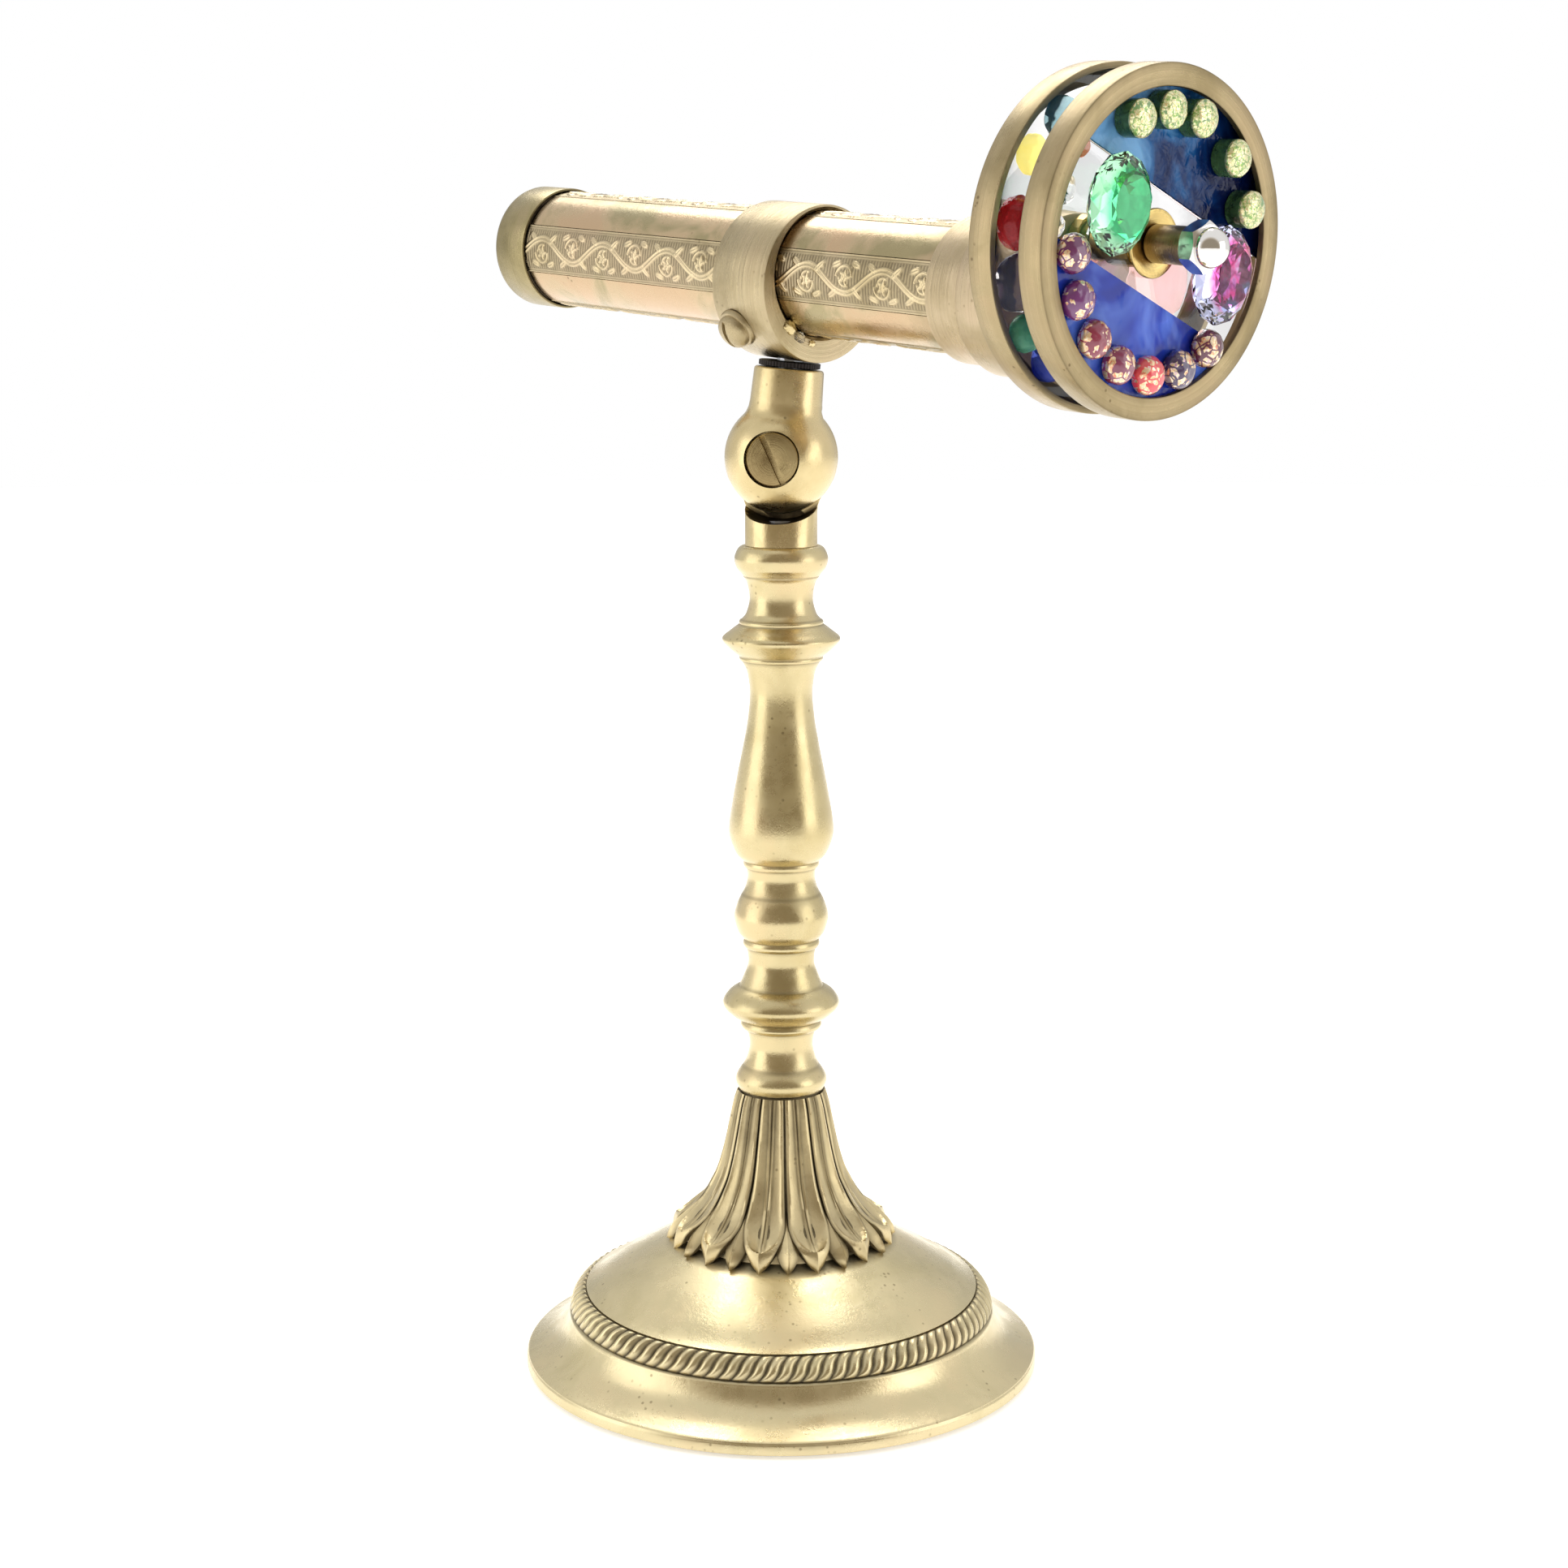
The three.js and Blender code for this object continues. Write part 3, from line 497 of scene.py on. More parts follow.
CLEAR = glass("clear_glass", (0.35, (1.0, 1.0, 1.0)), (0.7, (0.97, 0.965, 0.965)), ripple=0.05)
LENS = glass("lens_glass", (0.4, (0.98, 0.99, 0.99)), (0.6, (0.93, 0.95, 0.95)), ripple=0.03)
NAVY = glass("navy_glass", (0.34, (0.002, 0.008, 0.06)), (0.48, (0.004, 0.035, 0.15)),
             (0.60, (0.02, 0.13, 0.36)), (0.76, (0.20, 0.46, 0.82)), scale=42.0, clear=0.1,
             rough=0.06, ripple=0.8, ripple_scale=300.0, distortion=1.6, ior=1.3,
             slope=(FRONT_WHEEL.matrix, -9.0))
COBALT = glass("cobalt_glass", (0.32, (0.010, 0.016, 0.25)), (0.47, (0.02, 0.06, 0.55)),
               (0.62, (0.12, 0.24, 0.85)), scale=40.0, clear=0.4, rough=0.04, ripple=0.3,
               distortion=1.2, ior=1.3)
# the jewels' rim tones are painted highlights round the girdle
GREEN_JEWEL = glass("emerald_glass", (0.36, (0.01, 0.38, 0.12)), (0.6, (0.06, 0.60, 0.22)),
                    scale=110.0, ior=1.5, ripple=0.0, rim=(0.45, 0.90, 0.55))
PINK_JEWEL = glass("dichroic_pink_glass", (0.38, (0.35, 0.40, 0.92)), (0.45, (0.80, 0.05, 0.32)),
                   (0.50, (0.28, 0.004, 0.07)), (0.56, (0.92, 0.12, 0.42)),
                   (0.64, (0.72, 0.66, 0.98)), scale=100.0, ior=1.5, ripple=0.0,
                   distortion=0.2, rim=(0.66, 0.70, 1.0))
# glow: painted light, the piece shines by itself
YELLOW = glass("yellow_glass", (0.3, (1.0, 0.88, 0.25)), (0.7, (1.0, 0.94, 0.45)), clear=0.5,
               ior=1.1, glow=0.35)
RED = glass("red_glass", (0.3, (0.55, 0.01, 0.02)), (0.7, (0.85, 0.08, 0.09)), clear=0.6,
            ripple=0.6, ripple_scale=500.0, ior=1.3)
GREEN = glass("green_glass", (0.3, (0.05, 0.42, 0.22)), (0.7, (0.35, 0.8, 0.55)), clear=0.6,
              ripple=0.6, ripple_scale=500.0, ior=1.2)
BLUE = glass("blue_glass", (0.3, (0.05, 0.10, 0.75)), (0.7, (0.35, 0.45, 1.0)), clear=0.7,
             ior=1.2)
TEAL_PIECE = glass("teal_glass", (0.3, (0.35, 0.62, 0.68)), (0.7, (0.70, 0.86, 0.88)), clear=0.9,
                   ior=1.12)
# glow: painted light, the piece shines by itself
PINK = glass("pink_glass", (0.3, (0.98, 0.66, 0.62)), (0.7, (1.0, 0.82, 0.79)), clear=0.85,
             ior=1.06, glow=0.15)
ORANGE = glass("orange_glass", (0.3, (0.95, 0.24, 0.08)), (0.7, (1.0, 0.5, 0.25)), clear=0.6,
               ior=1.2)
SMOKE = glass("smoky_glass", (0.3, (0.80, 0.76, 0.77)), (0.7, (0.93, 0.91, 0.92)), clear=0.95,
              ior=1.12, ripple=0.4)


def foil(name, body, flakes, scale=620.0, crack=0.035, bare=0.45, seed=(0.0, 0.0, 0.0)):
    """Glass over crackled metal foil: bright flakes, with the body colour in the cracks."""
    r = new_material(name)
    here = r.vector("ADD", r.coordinates(), seed)
    bend = r.vector("SCALE", r.add("ShaderNodeTexNoise", here).outputs["Color"], None, None, 0.0008)
    here = r.vector("ADD", here, bend)
    coarse = r.cells(here, scale * 0.6, "DISTANCE_TO_EDGE")
    fine = r.cells(here, scale * 1.7, "DISTANCE_TO_EDGE")
    pick = r.noise(here, scale * 1.3, 3.0, 0.7)
    tone = r.ramp(pick, *flakes)
    gap = r.range(r.noise(here, scale * 0.5, 2.0, 0.6), bare, bare + 0.14, 0.0, 0.3)
    shown = r.range(r.math("SUBTRACT", coarse, gap), crack, crack + 0.05)
    shown = r.math("MULTIPLY", shown, r.range(fine, 0.01, 0.06, 0.45, 1.0))
    colour = r.blend(shown, body, tone)
    metal = r.math("MULTIPLY", shown, 0.6)
    return r.surface(Base_Color=colour, Metallic=metal, Roughness=0.2, Coat_Weight=1.0,
                     Coat_Roughness=0.02, Normal=r.bump(coarse, 0.5, 0.0004))


GOLD = (0.95, 0.66, 0.34)
PALE_GOLD = (0.96, 0.82, 0.58)
ROD_GLASS = glass("rod_bead_glass", (0.3, (0.015, 0.05, 0.02)), (0.7, (0.10, 0.22, 0.08)),
                  clear=0.35, scale=260.0)

# ---- stand -------------------------------------------------------------------------------------

DOME = [[42, 15], [40.3, 23.5], [36.4, 33], [31.9, 42], [27.4, 50], [23.9, 55.5], [22.9, 57.4]]
SKIRT = [[15.0, 62.5], [12.0, 64.0], [9.4, 66.1], [7.2, 69.0], [5.5, 72.2], [4.6, 74.2]]
ROPE_TOP = np.array([57.5, 22.6])
ROPE_BOTTOM = np.array([61.9, 16.3])
ROPE_STRANDS = 100
ROPE_LEAN = 1.35                # strands crossed from the band's lower edge to its upper edge
ROPE_BULGE = 1.8
ROPE_BEND = 0.09                # how far each strand bends like an S
ROPE_POINTS = 12                # round each strand


def build_foot():
    hollow = [[0.8, 74.6], [0.8, 71.5], [2.0, 71.3], [2.0, 67], [4.5, 66.8], [11, 60], [16, 55],
              [25, 42], [32, 28], [36, 14], [36, 4.3]]
    outline = [[42, 4.3], [42, 13], *smooth(DOME, 7), [22.3, 57.3], [21.9, 57.1],
               [16.7, 60.9], [16.2, 61.3], [15.9, 62.1], [15.5, 62.4], *smooth(SKIRT, 6),
               [4.35, 74.55], [4.1, 74.6], [3.9, 74.8], [3.5, 75], [1.1, 75], *hollow]
    shape = turned(outline, 240, "z", closed=True)
    height = shape[0][:, 2]
    radius = np.hypot(shape[0][:, 0], shape[0][:, 1])
    groove = unit(1 - np.abs(height - 22.2) / 0.6) * (radius > 55)
    under = unit(1 - np.abs(height - 16.2) / 0.5) * (radius > 58)
    # painted shade on the dome just under the leaf tips
    shade_under_leaf_tips = unit((34.2 - radius) / 2.0) * (height > 30) * 0.6
    place("foot", shape, STAND, FOOT_BRASS, "brass", "base_foot",
          patina_and_painted_light=unit(groove * 0.7 + under * 0.8 + shade_under_leaf_tips))
    build_rope()


def build_rope():
    columns, rows = ROPE_STRANDS * ROPE_POINTS, 17
    angle = np.arange(columns) / columns * TAU
    w = np.linspace(0, 1, rows)[:, None]
    bent = w + ROPE_BEND * np.sin(TAU * w)
    phase = (ROPE_STRANDS * angle / TAU)[None, :] - ROPE_LEAN * bent
    strand = np.sin(np.pi * (phase % 1)) ** 0.8
    crown = np.sqrt(unit(1 - (2 * w - 1) ** 2))
    lift = ROPE_BULGE * crown * (0.25 + 0.75 * strand) - 0.25
    along = ROPE_TOP - ROPE_BOTTOM
    out = np.array([along[1], -along[0]]) / np.linalg.norm(along)
    radius = ROPE_BOTTOM[0] + along[0] * w + out[0] * lift
    height = ROPE_BOTTOM[1] + along[1] * w + out[1] * lift
    hidden = around_axis(ROPE_BOTTOM[1] + 1, np.full((1, columns), ROPE_BOTTOM[0] - 3), angle, "z")
    points = np.vstack([around_axis(height, radius, angle, "z"), hidden])
    darkening = np.vstack([(1 - strand) ** 1.3 * 1.2 + (1 - crown) ** 2, np.ones((1, columns))])
    place("foot_rope_moulding", grid(points, True, True), STAND, FOOT_BRASS, "brass",
          patina_and_painted_light=unit(darkening).ravel(), sharp=math.pi)


LEAF_CURVE = smooth([[81.8, 12.9], [79, 13.8], [72, 15.3], [64, 17.1], [58, 18.9], [54.3, 20.7],
                     [50.3, 23.1], [47.3, 25.5], [44.3, 28.4], [41.6, 31.3], [39.4, 33.3],
                     [37.2, 34.6]], 12)
LEAVES = 12
FIRST_LEAF = math.radians(8)
LEAF_SHOULDER = 0.70            # where the leaf is widest, as a part of the curve's length
LEAF_THICK, SPEAR_THICK = 2.4, 2.6
LEAF_RIM = 0.95
CHANNEL_END = 0.60              # of a leaf's hollow, as a part of the length past the shoulder
SPEAR_START, SPEAR_END = 0.56, 0.995
SPEAR_HALF = 3.3
BLADE_POINTS = 33               # across a blade


def along_leaf(s):
    """Height, radius and outward normal of the leaf cone at part s of its length."""
    steps = np.linalg.norm(np.diff(LEAF_CURVE, axis=0), axis=1)
    length = np.concatenate([[0], np.cumsum(steps)])
    at = s * length[-1]
    z, r = (np.interp(at, length, LEAF_CURVE[:, k]) for k in (0, 1))
    ahead, behind = np.minimum(at + 0.8, length[-1]), np.maximum(at - 0.8, 0)
    dz, dr = ((np.interp(ahead, length, LEAF_CURVE[:, k])
               - np.interp(behind, length, LEAF_CURVE[:, k])) for k in (0, 1))
    size = np.hypot(dz, dr)
    return z, r, dr / size, -dz / size


def blade(s, width, lift, darkening, heading, under):
    """Closed blade on the leaf cone. lift and darkening are functions of part, side and distance."""
    side = np.linspace(-1, 1, BLADE_POINTS)[None, :]
    z, r, normal_z, normal_r = (np.broadcast_to(value[:, None], (len(s), BLADE_POINTS))
                                for value in along_leaf(s))
    across = width[:, None] * side
    h = lift(s[:, None], side, across)
    tint = unit(darkening(s[:, None], side, across))
    angle = heading + across / r
    top = around_axis(z + normal_z * h, r + normal_r * h, angle, "z")
    low = around_axis(z - normal_z * under, r - normal_r * under, angle, "z")
    tints = np.hstack([np.broadcast_to(tint, h.shape), np.full(h.shape, 0.9)])
    return loft(np.hstack([top, low[:, ::-1]])), tints.ravel()


def past_shoulder(s):
    return unit((s - LEAF_SHOULDER) / (1 - LEAF_SHOULDER))


def build_leaf_collar():
    core = [[z, r - 1.6] for z, r in LEAF_CURVE[::6] if z > 44]
    inside = [[40.6, 25], [46, 19], [54, 15], [70, 10], [81.0, 4.3]]
    cone = turned([[81.2, 4.3], *core, [41.2, 28.4], [38.0, 28.9], *inside], 96, "z", closed=True)
    shapes, tints = [cone], [np.clip((cone[0][:, 2] - 38) / 8, 0.2, 0.85)]

    s = np.concatenate([np.linspace(0, LEAF_SHOULDER, 46), np.linspace(LEAF_SHOULDER, 1, 40)[1:]])
    t = past_shoulder(s)
    half_pitch = np.pi * along_leaf(s)[1] / LEAVES
    shoulder = np.interp(LEAF_SHOULDER, s, half_pitch) * 0.93
    width = np.where(t > 0, shoulder * (1.06 - 0.06 * np.exp(-t * 8)) * np.cos(t * np.pi / 2) ** 0.8,
                     half_pitch * 0.93)
    width = np.maximum(width, 0.05)

    def channel(s_, across):
        t_ = past_shoulder(s_)
        w = np.interp(s_[:, 0], s, width)[:, None] - LEAF_RIM
        end = np.sqrt(unit(1 - (t_ / CHANNEL_END) ** 2.4))
        half = np.where(t_ > 0, np.minimum((shoulder - LEAF_RIM) * end, w), w)
        half = np.maximum(half, 0.02)
        return unit(1 - (across / half) ** 2) * (half > 0.1), t_

    def leaf_lift(s_, side, across):
        inside, t_ = channel(s_, across)
        hollow = -0.85 * (0.75 + 0.75 * unit(s_ / LEAF_SHOULDER)) * inside ** 0.6
        rib_fade = unit((CHANNEL_END - 0.12 - t_) / 0.12)
        rib = 0.42 * (np.exp(-((np.abs(across) - 0.5) / 0.26) ** 2)) * rib_fade
        lip = 0.9 * np.exp(-((t_ - CHANNEL_END) / 0.22) ** 2) * (t_ > 0)
        tip = -1.9 * unit((t_ - CHANNEL_END) / (1 - CHANNEL_END)) ** 1.3
        keel = -1.3 * np.abs(side) ** 1.2 * unit((t_ - 0.45) / 0.3)
        roll = -0.35 * np.abs(side) ** 6
        return hollow + rib + lip * (1 - 0.5 * np.abs(side)) + tip + keel + roll

    def leaf_stain(s_, side, across):
        inside, t_ = channel(s_, across)
        rib_gap = 0.55 * np.exp(-(across / 0.2) ** 2) * unit((CHANNEL_END - t_) / 0.1)
        edge = unit((np.abs(side) - 0.9) / 0.1)
        foot = np.exp(-((np.abs(across) - 1.1) / 0.4) ** 2) * 0.35
        high_up = np.clip(1.2 - s_ / LEAF_SHOULDER, 0.25, 1)
        return inside ** 0.5 * 0.42 * high_up + inside * foot + rib_gap + edge * 0.8

    spear_s = np.linspace(SPEAR_START, SPEAR_END, 34)

    def past_start(s_):
        return (s_ - SPEAR_START) / (SPEAR_END - SPEAR_START)

    u = past_start(spear_s)
    spear_width = np.maximum(SPEAR_HALF * np.sin(np.pi * u ** 1.5) ** 0.8, 0.25 * (1 - u) + 0.03)

    def spear_lift(s_, side, across):
        return -0.9 + 1.3 * np.sin(np.pi * past_start(s_) ** 1.6) - 1.7 * np.abs(side) ** 0.85

    def spear_stain(s_, side, across):
        return unit(np.abs(side) - 0.35) * 0.9 + unit(0.25 - (s_ - SPEAR_START)) * 2

    for kind, offset in (((s, width, leaf_lift, leaf_stain), 0),
                         ((spear_s, spear_width, spear_lift, spear_stain), 0.5)):
        for i in range(LEAVES):
            heading = FIRST_LEAF + (i + offset) * TAU / LEAVES
            shape, tint = blade(*kind, heading, SPEAR_THICK if offset else LEAF_THICK)
            shapes.append(shape)
            tints.append(tint)
    place("leaf_ornament", merge(shapes), STAND, LEAF_BRASS, "brass", "leaf_collar",
          patina_and_painted_light=unit(np.concatenate(tints)))


# Mouldings of the column from the bottom up, each a smooth run of [height, radius].
MOULDINGS = [
    [[82.3, 12.3], [84.9, 13.25], [88.9, 11.2]],
    [[89.3, 11.0], [91.8, 9.9], [95.5, 9.2], [99.9, 9.9]],
    [[100.1, 10.9], [101.4, 11.8], [102.7, 11.3]],
    [[102.9, 11.5], [104.4, 14.3], [107.9, 16.9], [110.8, 15.3], [112.9, 12.1]],
    [[113.2, 12.0], [116, 10.8], [120.2, 9.5], [124.1, 10.0]],
    [[124.3, 10.5], [125.5, 11.1], [126.7, 10.7]],
    [[126.9, 10.9], [129.2, 12.6], [133.3, 13.6], [137.4, 12.6], [139.8, 11.4]],
    [[140.2, 11.2], [142.8, 10.1], [145.2, 9.7], [147.7, 10.1]],
    [[147.9, 10.6], [148.8, 10.95], [149.7, 10.8]],
    [[149.8, 11.0], [152.3, 13.2], [158.5, 15.05], [168.5, 13.7], [183.5, 10.8], [191, 9.5],
     [198, 8.9], [203.5, 9.5], [207.4, 11.2]],
    [[207.6, 11.7], [208.2, 11.95], [208.6, 11.9]],
    [[208.8, 12.0], [211.2, 14.8], [213.7, 16.75], [216, 14.4], [217.8, 12.0]],
    [[218.0, 11.9], [218.5, 11.95], [219.0, 11.7]],
    [[219.2, 11.3], [221, 9.9], [225.2, 8.95], [229.6, 9.7], [231.2, 10.7]],
    [[231.5, 10.8], [232.4, 11.5], [234.0, 12.7], [236.3, 13.25], [238.3, 12.7], [239.6, 11.8],
     [240, 11.1]],
]


COLUMN_TOP = 240
COLUMN_BORE = 4.4


def build_column():
    rows = [[82.3, COLUMN_BORE, 0.0]]
    for run in MOULDINGS:
        points = smooth(run, 7)
        seam = [0.36, 0.12]
        darkening = [*seam, *[0.0] * (len(points) - 4), *seam[::-1]]
        rows += np.column_stack([points, darkening]).tolist()
    shape, patina_and_painted_light = stained([*rows, [COLUMN_TOP, COLUMN_BORE, 0.0]], 112, "z")
    place("turned_column", shape, STAND, BRASS, "brass", "column", patina_and_painted_light=patina_and_painted_light)


# ---- knuckle -----------------------------------------------------------------------------------

BALL_R = 15.9
SADDLE_R = 18.5
SADDLE_SHIFT = 6.6              # of the cutter, along the screw away from its own half
ARM_R = 10.2
ARM_SEGMENTS = 72
BALL_HEIGHT = 264.7             # of its centre, above the ground
SCREW_TURN = math.radians(-60)  # of the slot, from square to the neck


def sphere(radius, segments=ARM_SEGMENTS):
    angle = np.linspace(-np.pi / 2, np.pi / 2, segments // 2 + 1)
    return turned(np.stack([radius * np.sin(angle), radius * np.cos(angle)], -1), segments, "z")


def half_ball(arm, side, *cuts):
    """Half ball with its arm, cleared round the other half ball by a ball cutter."""
    far, slit = 60, GAP / 2
    low, high = ([-far] * 3, [slit, far, far]) if side > 0 else ([-slit, -far, -far], [far] * 3)
    cutter = transformed(sphere(SADDLE_R), Matrix.Translation((-side * SADDLE_SHIFT, 0, 0)))
    clearance = shape_of(carve(cutter, ("INTERSECT", block(low, high)), bevel=0))
    ball = shape_of(carve(sphere(BALL_R), ("DIFFERENCE", block(low, high)), bevel=0))
    arm = shape_of(carve(arm, ("DIFFERENCE", clearance), bevel=0))
    return carve(ball, ("UNION", arm), *[("DIFFERENCE", cut) for cut in cuts], bevel=0.3)


def saddle_painted_shade(mesh, side):
    """Painted shade where the gap between the halves falls dark: in the hollow of the arm and on
    the seam wall below the ball, but not on the hollow's outer lip.
    """
    spots = np.array([v.co[:] for v in mesh.vertices]) / MM
    reach = np.linalg.norm(spots - np.array([-side * SADDLE_SHIFT, 0, 0]), axis=1)
    hollowed = (np.abs(reach - SADDLE_R) < 0.25) & (np.linalg.norm(spots, axis=1) > BALL_R - 0.5)
    wall = (np.abs(spots[:, 0]) < GAP) & (spots[:, 2] * side > BALL_R - 1.0)
    inside_lip = np.hypot(spots[:, 0], spots[:, 1]) < ARM_R - 0.2
    return ((hollowed | wall) & inside_lip) * 1.0


def build_knuckle():
    floor = COLUMN_TOP - BALL_HEIGHT + 0.05
    post = turned([[floor, 0], [floor, 10.3], [floor + 0.4, 10.2], [-15.5, 10.2], [-13.6, 10.3],
                   [-11.9, 10.9], [-10.6, 11.7], [-8, 11], [-8, 0]], ARM_SEGMENTS, "z")
    lower = half_ball(post, -1)
    place("knuckle_lower_half", lower, BALL_LOWER, BALL_BRASS, "brass", "knuckle_lower",
          patina_and_painted_light=saddle_painted_shade(lower, -1))

    neck = turned([[8, 0], [8, 11], [10.6, 11.75], [11.8, 10.95], [13.4, 10.35], [15.4, 10.1],
                   [23.9, 9.75], [24.4, 9.6], [24.7, 9.2], [24.7, 0]], ARM_SEGMENTS, "z")
    counterbore = turned([[7.9, 0], [7.9, 7.75], [13.0, 7.75], [20, 8.4], [20, 0]], 64)
    bore = turned([[-2, 0], [-2, 3.3], [10, 3.3], [10, 0]], 32)
    upper = half_ball(neck, 1, counterbore, bore)
    place("knuckle_upper_half", upper, BALL_UPPER, BALL_BRASS, "brass", "knuckle_upper",
          patina_and_painted_light=saddle_painted_shade(upper, 1))

    head = turned(smooth_edge_disc(9.4, 13.2, 7.35), 64)
    shank = turned([[-11.5, 0], [-11.5, 3], [10, 3], [10, 0]], 32)
    slot = transformed(block([12.0, -10, -0.8], [15, 10, 0.8]),
                       Matrix.Rotation(SCREW_TURN, 4, "X"))
    screw = carve(head, ("UNION", shank), ("DIFFERENCE", slot), bevel=0.12)
    place("knuckle_slotted_screw", screw, BALL_UPPER, SCREW_BRASS, "brass",
          "knuckle_screw")


def smooth_edge_disc(start, end, radius):
    return [[start, 0], [start, radius], [end - 0.35, radius], [end - 0.1, radius - 0.12],
            [end, radius - 0.4], [end + 0.08, radius * 0.5], [end + 0.1, 0]]


# ---- clamp ring --------------------------------------------------------------------------------

RING_R = 21.46
RING_HALF = 11.13
RING_DROP = 2.71
TUBE_R = 16.9
RING_SCREW = (Matrix.Translation((-4, 0, -RING_DROP))
              @ Matrix.Rotation(math.radians(-140), 4, "X") @ Matrix.Rotation(TAU / 4, 4, "Z"))
RING_SCREW_SEAT = Seat(HEAD.matrix @ Matrix.Scale(MM, 4) @ RING_SCREW @ Matrix.Scale(1 / MM, 4),
                       "head")


def build_clamp_ring():
    outside = transformed(turned(tube(-RING_HALF, RING_HALF, RING_R, edge=0.45), 160),
                          Matrix.Translation((0, 0, -RING_DROP)))
    bore = turned([[-20, 0], [-20, 17.2], [RING_HALF - 1.0, 17.2], [RING_HALF + 0.1, 18.2],
                   [20, 18.4], [20, 0]], 160)
    stud = turned([[-30, 0], [-30, 3.9], [-18.7, 3.9], [-18.7, 0]], 32, "z")
    seat = transformed(turned([[20.9, 0], [20.9, 5.9], [26, 5.9], [26, 0]], 48), RING_SCREW)
    ring = carve(outside, ("DIFFERENCE", bore), ("DIFFERENCE", stud), ("DIFFERENCE", seat),
                 bevel=0)
    place("clamp_ring", ring, HEAD, RING_BRASS, "brass", "barrel_ring")

    washer = turned([[21.1, 1.9], [21.1, 5.8], [21.9, 5.85], [22.5, 5.5], [22.7, 5.0],
                     [22.7, 1.9]], 48, closed=True)
    place("clamp_screw_washer", washer, RING_SCREW_SEAT, RING_BRASS, "brass",
          "ring_screw_washer")
    arc = [[23.4 + 2.9 * math.sin(a), 4.95 * math.cos(a)] for a in np.linspace(0, TAU / 4, 12)]
    dome = turned([[22.6, 0], [22.6, 4.95], *arc], 48)
    shank = turned([[18.6, 0], [18.6, 1.6], [23, 1.6], [23, 0]], 24)
    slot = block([24.7, -0.65, -6], [27, 0.65, 6])
    screw = carve(dome, ("UNION", shank), ("DIFFERENCE", slot), bevel=0.1)
    place("clamp_dome_screw", screw, RING_SCREW_SEAT, RING_BRASS, "brass", "ring_screw")
    build_solder(random.Random(5))


SOLDER_LUMPS = (
    # degrees round the ring, distance, size, material
    (-126, 18.4, 1.9, BALL_BRASS), (-112, 18.7, 1.5, CLEAR), (-97, 19.0, 1.0, BALL_BRASS),
)


def build_solder(rng):
    """Small lumps of solder and glue low on the ring's front face, where the tube was fixed."""
    for i, (degrees, distance, size, material) in enumerate(SOLDER_LUMPS):
        angle = math.radians(degrees)
        verts, faces = sphere(1, 24)
        bumps = np.array([noise.noise(Vector(v) * 1.7 + Vector((rng.random(),) * 3))
                          for v in verts])
        verts = verts * (1 + 0.5 * bumps[:, None]) * size * np.array([0.45, 1.25, 0.8])
        spot = (RING_HALF + 0.1, distance * math.cos(angle), distance * math.sin(angle))
        turn = Matrix.Translation(spot) @ Matrix.Rotation(angle + TAU / 4, 4, "X")
        place(f"solder_lump_{i + 1}", transformed((verts, faces), turn), HEAD, material, "brass",
              sharp=math.pi)


# ---- barrel ------------------------------------------------------------------------------------

STRIP_HALF = 7.25
STRIP_TURN = math.radians(3)    # of the four strips, from square to the neck
STRIP_ENDS = (-118.8, 94.5)
STRIP_STEP = 0.27               # between rows of points
STRIP_POINTS = 57               # across a strip
STRIP_GROUND = 16.62            # radius of the strip's ground, and the height of its relief
STRIP_RELIEF = 0.5
STRIP_SEAT = 16.4               # radius of the channel that each strip lies in
VINE_PITCH = 30.0
VINE_SWING = 3.3
VINE_LEAVES = ((4.9, 3.2, 0.7, 2.9), (-4.6, 3.7, -0.5, 2.6),    # along, across, lean, length
               (3.9, -4.3, 0.3, 2.3), (-3.6, -4.2, -0.35, 2.3))


def ridge(distance, width, height):
    return height * np.exp(-(distance / width) ** 2)


def strip_relief(x, y):
    """Relief of the embossed strip, 0 to 1: a scrolling vine with flowers over fine hatching."""
    vine = VINE_SWING * np.sin(TAU * x / VINE_PITCH)
    slope = VINE_SWING * TAU / VINE_PITCH * np.cos(TAU * x / VINE_PITCH)
    away = np.abs(y - vine) / np.sqrt(1 + slope**2)
    half = VINE_PITCH / 2
    bend = np.floor(x / half)
    centre = half / 2 + bend * half
    sign = np.where(bend % 2 == 0, 1.0, -1.0)
    # a flower hangs inside each bend, ringed by a tendril that leaves the vine
    fx, fy = x - centre, (y - sign * -0.9) * sign
    reach, turn = np.hypot(fx, fy), np.arctan2(fy, fx)
    petals = 2.0 + 0.5 * np.cos(5 * turn)
    flower = unit((petals - reach) / 0.5) * (0.62 + 0.35 * np.cos(5 * turn) ** 2)
    tendril = ridge(reach - (3.25 - 0.18 * (turn + np.pi)), 0.42, 0.85) * (np.abs(turn - 0.5) > 0.5)
    marks = [ridge(away - 0.55, 0.42, 0.95), ridge(away, 0.4, 0.5), flower,
             ridge(reach, 0.5, 1.0), tendril]
    # paired leaves spring from the vine between the flowers, and small ones fill the corners
    for shift, rise, lean, length in VINE_LEAVES:
        lx, ly = fx - shift, y * sign - rise
        u = lx * math.cos(lean) + ly * math.sin(lean)
        v = -lx * math.sin(lean) + ly * math.cos(lean)
        inside = 1 - (u / length) ** 2 - (v / 1.05) ** 2
        marks.append(unit(inside * 1.6) * (0.9 - ridge(v, 0.2, 0.4)))
    relief = 0.16 + 0.15 * np.sin(TAU * x / 1.1)
    for mark in marks:
        relief = np.maximum(relief, mark)
    border = np.maximum(ridge(np.abs(y) - 6.95, 0.22, 0.9), ridge(np.abs(y) - 6.15, 0.16, 0.55))
    return np.maximum(np.where(np.abs(y) > 5.9, 0.12, relief), border)


